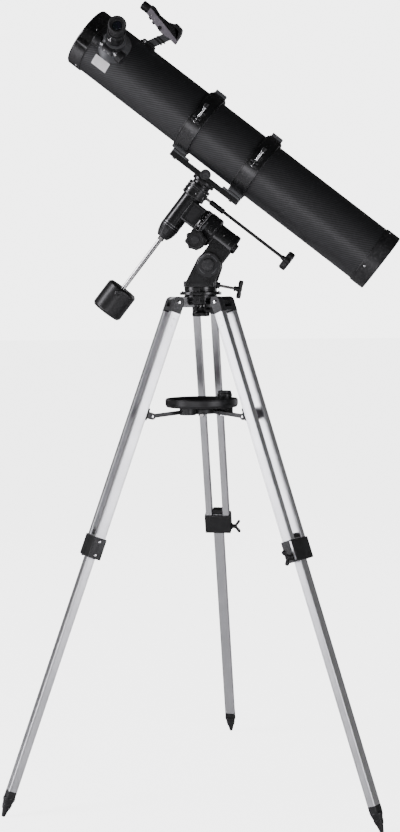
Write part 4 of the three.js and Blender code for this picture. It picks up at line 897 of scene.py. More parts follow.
# %% Spare eyepiece
SPARE = TRIPOD @ turn(358, "Z") @ move(SOCKET_REACH, 0, 0)
body = turned([(14.8, 928.6), (17.4, 928.6, 1), (17.4, 934, 0.4), (16.6, 934.6, 0.4), (16.6, 949, 0.4),
               (17.4, 949.6, 0.4), (17.4, 956, 1), (15.6, 958, 1), (15.6, 963.3, 1.2), (12.6, 963.3, 1),
               (10.4, 958.5, 0.5), (10.4, 956), (0, 956), (0, 930), (14.8, 930)], 64)
grips = round_axis(brick(16.2, 17.35, -0.7, 0.7, 935, 948.6, 0.3), 28, rubber)
plug = sleeve(15.85, 14.9, 904.3, 929, 0.4)
spare_lens = turned([(0, 956.4), (10.2, 956.4), (9, 957.4, 2), (0, 958.3)], 40)
make("spare_eyepiece_body", [(body, moulding), (grips, rubber), (plug, chrome), (spare_lens, lens)],
     SPARE, "spare_eyepiece", ("tray_eyepiece",))

# %% Azimuth lock knob under the head
grip = turned([(0, 1138.4), (19, 1138.4, 1.5), (21, 1141, 2), (21, 1146.4, 2), (18, 1148.9, 1), (0, 1148.9)],
              96, lobes=6, depth=3.2)
neck = turned([(0, 1148), (13, 1148.4, 1), (9.6, 1152, 2), (9.6, 1161, 0.6), (0, 1161)], 48)
fins = round_axis(brick(8.4, 10.8, -0.8, 0.8, 1150, 1159, 0.4), 10, moulding)
washer = rod(8, 1161, 1164.6, 0.6, 40)
make("azimuth_knob_grip", [(grip, moulding), (neck, moulding), (fins, moulding), (washer, chrome),
                           (rod(5.4, 1160, 1205, 0.4), steel)],
     TRIPOD, "azimuth_knob", ("azimuth_lock_knob",))

# %% [markdown]
# ## The mount's base
# The base turns on the head in azimuth. Two cheeks rise from it and hold the polar
# housing on one thick bolt, and a T-handled screw sets the latitude. The cheek is a
# casting: a flat panel under a round eye, with a raised disc that carries four short
# arcs and a latitude scale round the bolt.

# %% Base casting
PIVOT = (20.6, 0, 1257.86)
eye = arc(PIVOT[0], PIVOT[2], 29, -20, 154, 40)
cheek_outline = [(-33.5, 1216, 2), (36.5, 1216, 2)] + eye


def cheek():
    plate = placed(slab(cheek_outline, 29, 41.5, 1.4), PLATE_XZ)
    panel = [(-26, 1221, 3), (34, 1221, 3), (38, 1231, 2), (-18, 1240, 3)]
    recess = placed(slab(panel, 40.4, 43, 0.3), PLATE_XZ)
    return carved(plate, recess)


flange = turned([(0, 1187.2), (37, 1187.2), (37, 1188.8), (49, 1188.8, 1), (49, 1195.8, 1.6),
                 (38.5, 1195.8, 1.5), (38.5, 1199, 0.4), (38, 1199.4, 0.3), (38, 1200.6, 0.3),
                 (38.5, 1201, 0.4), (38.5, 1214.3, 1), (0, 1214.3)], 96)
bed = slab([(-37.5, -41.5, 9), (38.5, -41.5, 9), (38.5, 41.5, 9), (-37.5, 41.5, 9)], 1207, 1221, 1.6)
base_parts = [(flange, enamel), (bed, enamel), (brick(-15, 1, -42.5, -32.5, 1194.8, 1206.3, 1), enamel)]
base_parts += [(cheek(), enamel), (placed(cheek(), Matrix.Diagonal((1, -1, 1, 1))), enamel)]
base_parts.append((in_row(brick(-13, -1, -43.1, -42, 1196.4, 1197.4, 0.3), 3, (0, 0, 3.2), enamel), enamel))
screws = round_axis(placed(cap_screw(2.6, 2.4), move(44, 0, 1195.6)), 6, enamel, 20)
base_parts.append((screws, enamel))

# %% Arcs, scale and pivot bolt
def arc_bar():
    outline = arc(0, 0, 22.6, -24, 24, 12) + list(reversed(arc(0, 0, 20.4, -24, 24, 12)))
    return slab(outline, 41.6, 42.4, 0.2)


def tick():
    return brick(23.6, 25.4, -0.2, 0.2, 41.8, 42.2, 0.08)


def scale_disc():
    return turned([(15.4, 41.3), (28.2, 41.3), (28.2, 42, 0.5), (15.4, 42, 0.3)], 96, hollow=True)


for side in (0, 180):
    face = move(*PIVOT) @ turn(side, "Z") @ turn(90, "X")
    base_parts.append((scale_disc(), shoulder_grey, face))
    base_parts.append((round_axis(arc_bar(), 4, satin_grey, 45), satin_grey, face))
    base_parts.append((round_axis(tick(), 19, white_paint, 80, 95), white_paint, face))
BOLT = move(0, 0, 1219.36) @ turn(11.5, "Y") @ LAY_X
base_parts.append((nut(7.5, 30.5, 46.5, 3.7), moulding, BOLT))
bolt = turned([(0, -46.8), (13.4, -46.8, 1), (14.7, -45.2, 1), (14.7, -41.6, 0.5), (8, -41.6), (8, 41.6),
               (14.7, 41.6, 0.5), (14.7, 45.2, 1), (13.4, 46.8, 1), (0, 46.8)], 72)
rings = [sleeve(10.6, 9.8, 46.3, 50, 0.1), sleeve(10.6, 9.8, -50, -46.3, 0.1)]
base_parts.append((carved(bolt, *rings), disc_grey, move(*PIVOT) @ LAY_Y))
make("base", base_parts, TRIPOD, "azimuth_base", ("mount_base", "latitude_pivot_bolt"))

# %% Latitude screw with its T handle
thread = turned([(0, 0), (3.1, 0), (3.6, 0.55), (3.6, 0.7), (3.1, 1.25), (0, 1.25)], 24)
threads = in_row(thread, 52, (0, 0, 1.25), steel, (0, 0, 16))
collar = turned([(0, 80), (6.5, 80, 0.6), (6.5, 83, 0.4), (5.6, 83.6, 0.3), (5.6, 86, 0.3), (6.5, 86.6, 0.4),
                 (6.5, 91, 0.8), (0, 91)], 40)
handle = placed(turned([(0, -21.5), (5, -21.5, 2), (6, -14, 3), (4.9, -5, 3), (6, 0, 4), (4.9, 5, 3),
                        (6, 14, 3), (5, 21.5, 2), (0, 21.5)], 40), LAY_X, move(0, 0, 93.9))
make("latitude_t_screw", [(threads, steel), (collar, moulding), (handle, moulding)],
     TRIPOD @ BOLT, "latitude_screw", ("latitude_bolt",))

# %% [markdown]
# ## The polar housing
# The polar axis runs in a stout cast tube. At its head sits the worm wheel that
# follows the stars, driven by a worm in a box on its side; under it a knuckle takes
# the latitude bolt. The head is turned with a step, and carries a silver index arc.

# %% Polar housing
head = turned([(0, -96), (33, -96, 2), (37, -92, 2), (37, -82, 0.4), (36.3, -81.4, 0.3), (36.3, -79.6, 0.3),
               (37, -79, 0.4), (37, -64, 1), (0, -64)], 96)
tail = turned([(0, -150), (28.5, -150, 1), (30, -148, 1.2), (30, -138, 0.5), (29, -137, 0.4), (29, -90),
               (0, -90)], 80)
knuckle = placed(rod(28, -28.6, 28.6, 1.2, 80), LAY_Y, move(-66, 0, -128.5))
lug_outline = [(-66, -150, 2), (-8, -150, 4), (-8, -100.5, 6), (-66, -100.5, 2)]
lug = placed(slab(lug_outline, -28.6, 28.6, 1.4), PLATE_XZ)
worm_box = brick(-49.9, -14, -27, 24, -84, -64, 1.8, 5)
worm_neck = rod(9, -1, 40, 0.5)
cover = turned([(4.3, 37.5), (22, 37.5, 1), (22, 43, 1.4), (20, 45, 1), (4.3, 45, 0.2)], 64, hollow=True)
WORM = move(-37.9, 0, -72) @ turn(90, "X")
parts = [(head, enamel), (tail, enamel), (knuckle, enamel), (lug, enamel), (worm_box, enamel)]
parts += [(worm_neck, enamel, WORM), (cover, moulding, WORM)]
parts.append((turned([(0, -157), (11, -157, 1), (12.5, -155, 1), (12.5, -149), (0, -149)], 48), moulding))
index = arc(0, 0, 37.3, -118, -72, 16) + list(reversed(arc(0, 0, 35, -118, -72, 16)))
parts.append((slab(index, -69.4, -66.6, 0.2), satin_grey))
seams = [brick(-40, -20, -27.4, -26.8, -82 + 1.5 * i, -81.4 + 1.5 * i, 0.1) for i in (0, 10)]
parts += [(seam, satin_grey) for seam in seams]
box_screw = placed(cap_screw(2.2, 1.8), turn(-90, "X"))
box_screws = in_row(box_screw, 2, (22, 0, 0), steel, (-43, 24, -74))
parts.append((box_screws, steel))
tail_screws = round_axis(placed(cap_screw(2.2, 1.6), turn(90, "Y"), move(29.2, 0, -116)), 3, steel, -70)
parts.append((tail_screws, steel))
make("polar_body_casting", parts, POLAR, "polar_body", ("polar_housing",))

# %% Right-ascension slow motion knob and worm wheels
knob = turned([(0, 57), (22, 57, 1.5), (24, 59.5, 2), (24, 69, 2), (22, 71.6, 1.2), (17, 72, 0.6),
               (16.2, 70.6, 0.4), (11, 70.6, 0.3), (10.4, 71.6, 0.4), (0, 71.6)], 128, lobes=8, depth=3.4)
inset = turned([(0, 71), (8.6, 71, 0.1), (8.6, 71.8, 0.3), (0, 71.8)], 40)
stem = turned([(0, 40.2), (4, 40.2), (4, 55), (9, 57.2), (0, 57.2)], 32)
make("ra_knob_grip", [(knob, moulding), (inset, disc_grey), (stem, chrome)], POLAR @ WORM, "ra_knob",
     ("ra_slow_motion_knob",))
for node, metal in (("ra_worm_wheel", brass), ("dec_worm_wheel", brass), ("polar_shaft", steel)):
    frame["nodes"][node].data.materials.clear()
    frame["nodes"][node].data.materials.append(metal)

# %% [markdown]
# The setting circle is a gloss black ring that can be slipped round to match the
# sky. Its graduations are printed white, a long tick at each hour and short ticks
# between. The fine white line round the ring under them is a painted highlight: the
# light caught at the ring's lower edge.

# %% Setting circle
circle = turned([(16.6, -63.4), (35, -63.4, 0.6), (36, -62, 0.6), (36, -52, 0.5), (34.6, -50, 0.5),
                 (34.6, -47.8, 0.6), (16.6, -47.8, 0.4)], 128, hollow=True)
long_ticks = round_axis(brick(35.8, 36.1, -0.3, 0.3, -59, -54.5, 0.05), 24, white_paint)
short_ticks = round_axis(brick(35.8, 36.1, -0.12, 0.12, -59, -57.4, 0.05), 96, white_paint)
# Painted highlight: a thin white ring for the light caught at the circle's lower edge.
rim_highlight = sleeve(36.1, 35.8, -61.4, -60.9, 0.05, 128)
marks = [(mark, white_paint) for mark in (long_ticks, short_ticks, rim_highlight)]
make("ra_circle", [(circle, gloss)] + marks, POLAR, "setting_circle", ("ra_setting_circle",))

# %% [markdown]
# ## The declination housing
# The second axis lies across the first in a barrel with a bright-edged band for its
# worm wheel. The barrel has two turned lines near its lower end and a tapered cap
# with ribs, and below that the counterweight shaft screws in.

# %% Declination housing
barrel = turned([(0, -46), (23, -46, 0.4), (23, -44, 0.3), (22.4, -43.6, 0.2), (22.4, -42.6, 0.2),
                 (23, -42.2, 0.3), (23, -39, 0.3), (22.4, -38.6, 0.2), (22.4, -37.6, 0.2), (23, -37.2, 0.3),
                 (23, 34, 0.5), (28.5, 36, 1.4), (28.5, 41, 0.4), (27.8, 41.6, 0.3), (27.8, 55, 0.3),
                 (28.5, 55.6, 0.4), (28.5, 60, 1), (0, 60)], 112)
neck = brick(-21, 33, -25, 25, -47, -8, 2, 5)
panels = [brick(-16, 28, -26, -24, -42, -14, 0.2, 2.5), brick(-16, 28, 24, 26, -42, -14, 0.2, 2.5)]
collar = turned([(0, -63.6), (16, -63.6, 0.5), (16, -52, 0.5), (18, -49, 1), (18, -46), (0, -46)], 64)
inner_panels = [brick(-11, 23, -24.6, -23.9, -38, -18, 0.2, 2), brick(-11, 23, 23.9, 24.6, -38, -18, 0.2, 2)]
parts = [(barrel, enamel, LAY_X), (carved(neck, *panels), enamel), (collar, enamel)]
parts += [(panel, moulding) for panel in inner_panels]
boss = placed(rod(7, -24, 20, 0.8, 40), move(53, 23.8, 0))
band_screws = round_axis(placed(cap_screw(2, 1.4), turn(90, "Y"), move(27.5, 0, 48)), 8, chrome, 10)
parts += [(boss, enamel), (band_screws, chrome, LAY_X)]
parts.append((sleeve(28.6, 27.9, 58.6, 59.6, 0.2, 112), satin_grey, LAY_X))
cap = turned([(0, -82), (13, -82, 1.5), (19, -70, 2), (21.6, -58, 1), (22.2, -57.4, 0.3), (22.2, -56, 0.3),
              (23, -55.4, 0.4), (23, -46.3, 0.5), (0, -46.3)], 96)
rib_outline = [(-58.5, 20.6), (-58.5, 22.2, 0.5), (-71, 19.2, 0.6), (-79.5, 14.9, 0.6), (-79.5, 12)]
ALONG_AXIS = Matrix(((0, 1, 0, 0), (0, 0, 1, 0), (1, 0, 0, 0), (0, 0, 0, 1)))
cap_ribs = round_axis(placed(slab(rib_outline, -0.9, 0.9, 0.3), ALONG_AXIS), 24, moulding)
parts += [(cap, moulding, LAY_X), (cap_ribs, moulding, LAY_X)]
parts += [(sleeve(23.15, 22.2, x, x + 0.9, 0.2, 96), turned_grey, LAY_X) for x in (-44.6, -50.2)]
shaft = turned([(0, -300), (4.4, -300, 0.5), (5.4, -299, 0.3), (5.4, -84), (0, -84)], 48)
shaft_nut = turned([(0, -90), (7.4, -90, 0.6), (7.4, -82, 0.6), (0, -82)], 6)
parts += [(shaft, chrome, LAY_X), (shaft_nut, steel, LAY_X)]
make("declination_casting", parts, POLAR, "declination_body",
     ("declination_housing", "declination_end_cap", "counterweight_shaft"))

# %% [markdown]
# The declination control is a thin flexible-looking rod with a round lobed knob, so
# that the observer can turn the worm from behind the eyepiece.

# %% Declination slow motion control
KNOB_FACE = -274.5
knob = turned([(0, KNOB_FACE), (10, KNOB_FACE, 0.4), (10.6, KNOB_FACE + 1, 0.4), (16, KNOB_FACE + 1, 0.4),
               (16.8, KNOB_FACE, 0.6), (21.4, KNOB_FACE, 1), (23.5, -271.5, 2.5), (23.5, -261, 2.5),
               (20.5, -257.5, 2), (0, -257.5)], 128, lobes=8, depth=3.2)
neck = turned([(0, -261), (6, -261), (6, -256, 0.6), (5, -249.5, 0.8), (0, -249.5)], 40)
coupling = turned([(0, -78.5), (5.6, -78.5, 0.5), (6.5, -77, 0.8), (6.5, -60, 0.4), (5.8, -59.4, 0.3),
                   (5.8, -57, 0.3), (6.5, -56.4, 0.4), (6.5, -38.5, 0.8), (0, -38.5)], 40)
grub = placed(cap_screw(1.8, 1.2), turn(-90, "X") @ turn(180, "X") @ turn(180, "Y"), move(0, -6, -68))
make("dec_control_rod", [(knob, moulding), (neck, moulding), (rod(4, -250, -68.5, 0.2, 32), rubber),
                         (coupling, moulding), (grub, chrome), (rod(3.5, -40, -14, 0.3, 32), steel)],
     POLAR @ move(53, 23.8, 0), "dec_control", ("dec_slow_motion_control",))

# %% [markdown]
# The counterweight is a cast iron drum in satin paint, bored for its shaft and
# locked by a screw with an oval head. Its edges are well rounded: it gets dropped.

# %% Counterweight and its lock
weight = turned([(5.8, -302.6), (33, -302.6, 1), (38, -297, 5), (38, -237, 5), (33, -232, 1), (5.8, -232)],
                112, hollow=True)
bush = turned([(6, -233), (12, -233), (12, -231.8, 0.5), (6, -231.8, 0.4)], 48, hollow=True)
make("weight", [(weight, iron, LAY_X), (bush, steel, LAY_X)], POLAR, "counterweight", ("counterweight",))
LOCK = POLAR @ move(-247, 0, 0) @ turn(90, "X")
oval = slab([(-6.8, -2.4, 2.3), (6.8, -2.4, 2.3), (6.8, 2.4, 2.3), (-6.8, 2.4, 2.3)], 41.4, 47, 0.9)
collar = turned([(0, 38.4), (6.4, 38.4, 0.5), (6.4, 40.4, 0.6), (4, 42, 0.8), (0, 42)], 40)
make("weight_lock_screw", [(oval, moulding), (collar, moulding), (rod(3, 8, 39, 0.2, 24), chrome)],
     LOCK, "weight_lock", ("counterweight_lock_screw",))

# %% [markdown]
# ## The saddle bar and the tube rings
# The head of the declination axis is two discs with a waist between; a flat bar is
# screwed across it, and a hinged ring stands on each end of the bar. A ring is cast
# in two halves with raised lips, closed by a chromed screw beside a pair of ears.

# %% Head and bar
disc = turned([(0, 60.4), (28.5, 60.4, 0.8), (28.5, 67, 1.2), (22.5, 68, 1.6), (22.5, 74, 1.6),
               (28.5, 75, 1.2), (28.5, 82, 0.8), (0, 82)], 96)
bar = slab([(-19, -83, 4), (19, -83, 4), (19, 112, 4), (-19, 112, 4)], -98.7, -85.7, 1)
TO_SIDE = Matrix(((0, 0, 1, 0), (1, 0, 0, 0), (0, 1, 0, 0), (0, 0, 0, 1)))
parts = [(disc, enamel, AXES_CROSSING_TO_TUBE.inverted() @ LAY_X), (bar, enamel, TO_SIDE)]
for low, high in ((69, 112), (-83, -34)):
    block = slab([(-19, low, 3), (19, low, 3), (19, high, 3), (-19, high, 3)], -86.5, -80.3, 1.6)
    parts.append((block, satin_grey, TO_SIDE))
clamp_bolt = turned([(0, -31), (11.5, -31, 1), (12.5, -29.6, 0.8), (12.5, -20, 0.5), (10, -17, 1),
                     (0, -17)], 64)
recess = sleeve(8.8, 7.8, -34, -30.2, 0.1, 48)
parts.append((carved(clamp_bolt, recess), disc_grey, move(-85.7, 0, 14) @ LAY_Y))


# %% Lower ring halves
RINGS = {"front": 100, "rear": -65}
RING_PROFILE = [(69.9, -19), (76, -19, 0.7), (76, -16.4, 0.5), (75, -15.8, 0.4), (75, 15.8, 0.4),
                (76, 16.4, 0.5), (76, 19, 0.7), (69.9, 19)]


def half_ring(side):
    keep = brick(0.15, 90, -90, 90, -30, 30, 0.01) if side > 0 else brick(-90, -0.15, -90, 90, -30, 30, 0.01)
    return carved(turned(RING_PROFILE, 160, hollow=True), keep, how="INTERSECT")


def ear_block(side):
    low, high = (0.2, 7.5) if side > 0 else (-7.5, -0.2)
    block = [(-94.5, low, 2.5), (-73.8, low, 0.2), (-73.8, high, 0.2), (-94.5, high, 3)]
    shape = slab([(x, y, *r) for y, x, *r in block], -10, 10, 1)
    return carved(shape, brick(-12, 12, -96, -84.6, -3.6, 3.6, 0.1))


for z in RINGS.values():
    place = move(0, 0, z)
    parts += [(half_ring(-1), enamel, place), (ear_block(-1), enamel, place)]
    seat = slab([(-80, -17, 2), (-73, -17, 0.4), (-73, 17, 0.4), (-80, 17, 2)], -19, 19, 1.2)
    parts.append((seat, satin_grey, place))
    knuckles = in_row(placed(rod(5, 0, 9, 0.5, 32), move(0, 80.6, 0)), 2, (0, 0, 28), enamel, (0, 0, -18.5))
    parts += [(knuckles, enamel, place), (rod(1.6, -18.8, 18.8, 0.3, 20), chrome, place @ move(0, 80.6, 0))]
    bolts = in_row(placed(cap_screw(3.2, 2.6), turn(-90, "Y")), 2, (0, 22, 0), steel, (-98.2, -11, 0))
    parts.append((bolts, steel, place))

# %% Upper ring halves and their screws
for name, z in RINGS.items():
    halves = [(half_ring(1), enamel), (ear_block(1), enamel)]
    step = slab([(73.4, -15.5, 1), (78.4, -15.5, 2), (78.4, 15.5, 2), (73.4, 15.5, 1)], -16, 16, 1)
    shoe = slab([(77.6, -12, 1), (87, -12, 1.6), (87, 12, 1.6), (77.6, 12, 1)], -14, 14, 1)
    groove = brick(86, 88, -2.4, 2.4, -20, 20, 0.1)
    halves += [(step, enamel), (carved(shoe, groove), satin_grey)]
    halves.append((placed(rod(5, -9, 9, 0.5, 32), move(0, 80.6, 0)), enamel))
    make(f"{name}_ring_top", halves, TUBE @ move(0, 0, z), f"{name}_clamp_top",
         (f"{name}_clamp_upper_half",))
    shank = rod(3, -9, 32, 0.3, 32)
    head = slab([(-5.2, -10.8, 4), (5.2, -10.8, 4), (5.2, 10.8, 4), (-5.2, 10.8, 4)], 32, 43, 1.6)
    waist = carved(head, brick(-9, 9, -1.6, 1.6, 38, 46, 0.2))
    nut_disc = turned([(0, 30.6), (5.4, 30.6, 0.4), (5.4, 33, 0.5), (0, 33)], 40)
    make(f"{name}_ring_screw", [(shank, chrome), (waist, moulding), (nut_disc, chrome)],
         TUBE @ move(0, -87, z) @ LAY_X, f"{name}_screw", (f"{name}_clamp_screw",))

# %% [markdown]
# ## The optical tube
# The tube is rolled sheet metal wrapped in the carbon-look film and painted matt black
# inside. A moulded ring closes each end: the front one is gloss with a lip, the rear
# one is satin and holds the mirror cell. Everything here is swept round the tube's
# own axis; the focuser's port is then cut through it.

# %% Tube wall
TUBE_STEPS = 192
ACROSS_FOCUSER = move(0, 0, 353) @ FOCUSER_TURN @ LAY_X


def port():
    return placed(rod(21, 50, 90, 0.1, 64), ACROSS_FOCUSER)


wall = turned([(68.4, -428.6), (69.5, -428.6), (69.5, 428.6), (68.4, 428.6)], TUBE_STEPS, hollow=True)
lining = turned([(67.5, -428.5), (68.5, -428.5), (68.5, 428.5), (67.5, 428.5)], TUBE_STEPS, hollow=True)
tube_parts = [(carved(wall, port()), film), (carved(lining, port()), inner_black)]
front = turned([(64.9, 404), (69.4, 401, 0.5), (71.2, 400, 0.8), (72, 401.5, 0.8), (72, 431.5, 2),
                (70, 434.6, 1.5), (67, 435, 0.8), (64.9, 433.5, 0.6)], TUBE_STEPS, hollow=True)
seam = sleeve(72.3, 71.7, 403.2, 403.8, 0.1, TUBE_STEPS)
tube_parts.append((carved(front, seam), gloss))
rear = turned([(0, -432), (50, -432, 0.4), (52, -435, 1), (70, -435, 1.5), (72, -433, 1.5), (72, -398.5, 0.8),
               (71.2, -397, 0.8), (69.4, -398, 0.5), (69.4, -428), (0, -428)], TUBE_STEPS)
seams = [sleeve(72.3, 71.6, z, z + 0.7, 0.1, TUBE_STEPS) for z in (-401.5, -430.4)]
tube_parts.append((carved(rear, *seams), moulding))

# %% Screws in the end rings, and the mirror cell's adjusters
for z, count, first in ((409, 4, 20), (-407, 4, 65)):
    screw = placed(cap_screw(2.4, 0.9), turn(90, "Y"), move(71.7, 0, z))
    tube_parts.append((round_axis(screw, count, chrome, first), chrome))
adjuster = turned([(0, 0), (7, 0, 0.5), (7, 2.6, 1), (0, 2.6)], 48, lobes=12, depth=0.8)
adjuster = placed(adjuster, turn(180, "X"), move(38, 0, -432))
tube_parts.append((round_axis(adjuster, 3, moulding, 30), moulding))
lock = placed(cap_screw(3, 2.4), turn(180, "X"), move(38, 0, -432))
tube_parts.append((round_axis(lock, 3, steel, 90), steel))
back_ribs = round_axis(brick(8, 30, -0.8, 0.8, -433.2, -431.8, 0.3), 6, moulding)
tube_parts.append((back_ribs, moulding))

# %% [markdown]
# Inside, the main mirror lies at the lower end and a small flat mirror hangs near
# the front on three thin vanes, turned half a right angle to throw the image out to
# the focuser. The dished face of the main mirror is shallow but real.

# %% Mirrors and spider
MIRROR_FRONT = -413.7
DISH = 1.8
dished = [(57 * (1 - i / 12), MIRROR_FRONT - DISH * (1 - (1 - i / 12) ** 2)) for i in range(13)]
primary_outline = [(0, -428), (57, -428, 0.5), (57, MIRROR_FRONT)] + dished[1:-1] + [(0, MIRROR_FRONT - DISH)]
primary = turned(primary_outline, 128)
tube_parts.append((primary, mirror))
clips = round_axis(brick(51, 60, -4, 4, -413.6, -411.6, 0.5), 3, moulding, 10)
tube_parts.append((clips, moulding))
HOLDER = move(0, 0, 353) @ FOCUSER_TURN
flat = placed(rod(16.6, -2.5, 0, 0.4, 64), turn(45, "Y"))
back = placed(turned([(0, -2.4), (12, -2.4), (12, -5, 0.5), (0, -5)], 48), turn(45, "Y"))
holder = carved(rod(12, 2, 36, 0.8, 64), placed(brick(-30, 30, -30, 30, -60, -3, 0.1), turn(45, "Y")))
vanes = round_axis(brick(11, 67.9, -0.5, 0.5, 20, 33, 0.2), 3, inner_black, 60)
tube_parts += [(flat, mirror, HOLDER), (back, inner_black, HOLDER)]
tube_parts += [(holder, moulding, HOLDER), (vanes, inner_black, HOLDER)]
tube_parts.append((placed(cap_screw(2, 1.6), move(0, 0, 35.9)), steel, HOLDER))

# %% Label on the near side
LABEL_LOW, LABEL_HIGH = -128, -107
label_outer, label_inner = (arc(0, 0, radius, LABEL_LOW, LABEL_HIGH, 16) for radius in (69.75, 69.3))
tube_parts.append((slab(label_outer + list(reversed(label_inner)), 337, 377, 0.03), label_card))

# %% [markdown]
# ## The focuser
# A cast flange hugs the tube and carries a short barrel. A rack pushes the draw tube
# in and out of it when either of two ribbed knobs is turned. The flange's underside
# follows the round of the tube exactly, so it is turned first and then the tube is
# cut out of it.

# %% Flange, barrel and pinion box
flange = turned([(18.4, 40), (39, 40), (39, 64, 1.4), (36, 68.5, 4), (26, 82, 4), (23, 86, 2),
                 (23, 108, 0.4), (24.4, 108.6, 0.4), (24.4, 112, 0.8), (18.4, 112)], 112, hollow=True)
flange = placed(flange, LAY_X)


def rack_way():
    """The channel the draw tube's rack runs in."""
    return brick(30, 115, -19.2, -17, -4, 4, 0.2)


flange = carved(flange, rod(69.6, -60, 60, 0.1, TUBE_STEPS), rack_way())
PINION = (100, -25, 0)
box = slab([(88, -33, 3), (110, -33, 3), (110, -14, 1), (88, -14, 1)], -14, 14, 1.2)
box = carved(box, placed(rod(18.6, 80, 120, 0.1, 96), LAY_X), rack_way())
box_plate = slab([(90.5, -34.2, 1), (107.5, -34.2, 1), (107.5, -32, 0.4), (90.5, -32, 0.4)], -10, 10, 0.5)
focuser = [(flange, satin_grey), (box, moulding), (box_plate, satin_grey)]
plate_screw = placed(cap_screw(1.7, 1), turn(90, "X"), move(99, -34, 0))
plate_screws = in_row(plate_screw, 2, (0, 0, 12), chrome, (0, 0, -6))
focuser.append((plate_screws, chrome))
flange_screws = round_axis(placed(cap_screw(2.6, 2), move(33.5, 0, 68.5)), 4, chrome, 45)
focuser.append((flange_screws, chrome, LAY_X))
lock_stem = placed(rod(1.8, 22, 30, 0.2, 20), turn(-90, "X"), move(104, 0, 0))
lock_head = turned([(0, 29), (5, 29, 0.5), (5, 34, 0.8), (0, 34)], 48, lobes=16, depth=0.5)
lock_head = placed(lock_head, turn(-90, "X"), move(104, 0, 0))
focuser += [(lock_stem, chrome), (lock_head, chrome)]


# %% Finder shoe, stalk and body
def side_slab(points, low, high, edge=0.5):
    """An outline in the tube's X and Z, pushed from low to high across it."""
    return placed(slab(points, -high, -low, edge), PLATE_XZ)


shoe = side_slab([(66, 288, 1), (66, 324, 1), (77, 322, 2), (79, 318, 1), (79, 294, 1), (76, 288, 2)],
                 -9, 9, 0.8)
foot_plate = side_slab([(67.6, 286, 1), (72, 286, 1.5), (72, 326, 1.5), (67.6, 326, 1)], -8, 8, 0.8)
shoe_rib = side_slab([(70, 292, 0.5), (70, 294, 0.5), (77.4, 294, 0.5), (77.4, 292, 0.5)], -9.5, 9.5, 0.3)
shoe_ribs = in_row(shoe_rib, 6, (0, 0, 4.6), moulding)
stalk = side_slab([(76, 292, 1), (114, 270, 1), (116, 290, 1), (76, 314, 1)], -5, 5, 0.8)
bands = []
for x in (90, 97):
    low, high = 281 - (x - 92) * 0.6, 302 - (x - 92) * 0.5
    outline = [(x - 1.6, low, 0.6), (x + 2.2, low - 2.2, 0.6), (x + 5, high, 0.6), (x + 1.2, high + 2.2, 0.6)]
    bands.append(side_slab(outline, -6.4, 6.4, 0.5))
body_outline = [(110, 255, 3), (136, 258, 4), (147, 263, 3), (150, 279, 3), (144, 284, 3), (139.5, 300, 10),
                (140, 318, 8), (149, 341, 4), (149, 351, 2), (126, 351, 2), (124, 340, 3), (118, 322, 2),
                (115, 312, 1.5), (112, 301, 1.5), (110.5, 284, 1), (112, 272, 2)]
body = side_slab(body_outline, -11, 11, 1.8)
spine = [(112, 255.5, 2), (137, 257.5, 4), (148, 262, 3), (150.4, 279, 3), (145, 284.8, 3), (140.5, 300, 10),
         (141, 317.6, 8), (149.8, 341, 4), (149.8, 351, 2), (142, 351, 1), (134, 320, 8), (133, 298, 8),
         (139, 280, 4), (136, 266, 3)]
cap = side_slab(spine, -12.5, 12.5, 1.6)
barrel = turned([(8.2, 336), (11, 336, 0.6), (11, 346, 0.4), (10.4, 346.6, 0.3), (10.4, 350, 0.3),
                 (11, 350.6, 0.4), (11, 371, 1), (9.6, 373, 0.8), (8.6, 372, 0.5)], 64, hollow=True)
switch = turned([(0, -12.2), (5, -12.2, 0.6), (5, 12.2, 0.6), (0, 12.2)], 48, lobes=24, depth=0.4)
finder = [(shoe, moulding), (foot_plate, moulding), (shoe_ribs, moulding), (stalk, satin_grey)]
finder += [(piece, moulding) for piece in bands] + [(body, finder_side), (cap, moulding)]
EYE_LINE = move(137.5, 0, 0)
window = turned([(0, 352), (8.4, 352), (8.4, 368.6), (6, 369.6, 1), (0, 370)], 48)
finder += [(barrel, moulding, EYE_LINE), (window, lens, EYE_LINE)]
finder.append((placed(switch, LAY_Y), moulding, move(117.5, 0, 306)))
for x, z in ((126, 339), (122, 327)):
    wheel = placed(turned([(0, -9), (3, -9, 0.4), (3, 9, 0.4), (0, 9)], 32, lobes=12, depth=0.3), LAY_Y)
    finder.append((wheel, moulding, move(x - 3, 0, z)))
    finder.append((placed(cap_screw(1.6, 0.8), turn(90, "X"), move(x + 4, -11.2, z)), chrome))
finder.append((placed(rod(3.4, 8, 14, 0.4, 32), turn(90, "X"), move(73, 0, 315)), chrome))

# %% The tube body in one piece
everything = parts + tube_parts + finder
everything += [(shape, paint, HOLDER) for shape, paint, *rest in focuser if not rest]
everything += [(shape, paint, HOLDER @ rest[0]) for shape, paint, *rest in focuser if rest]
make("telescope_tube", everything, TUBE, "tube_body",
     ("declination_head", "mounting_bar", "front_clamp_lower_half", "rear_clamp_lower_half", "optical_tube",
      "front_ring", "rear_cell", "primary_mirror", "secondary_mirror", "secondary_spider", "focuser_base",
      "red_dot_finder"))

# %% [markdown]
# The draw tube ends in a moulded collar with a chromed thumb screw that grips the
# eyepiece. The eyepiece itself is a stack of ribbed rubber rings under a folded
# eyecup, with the eye lens set deep in it.

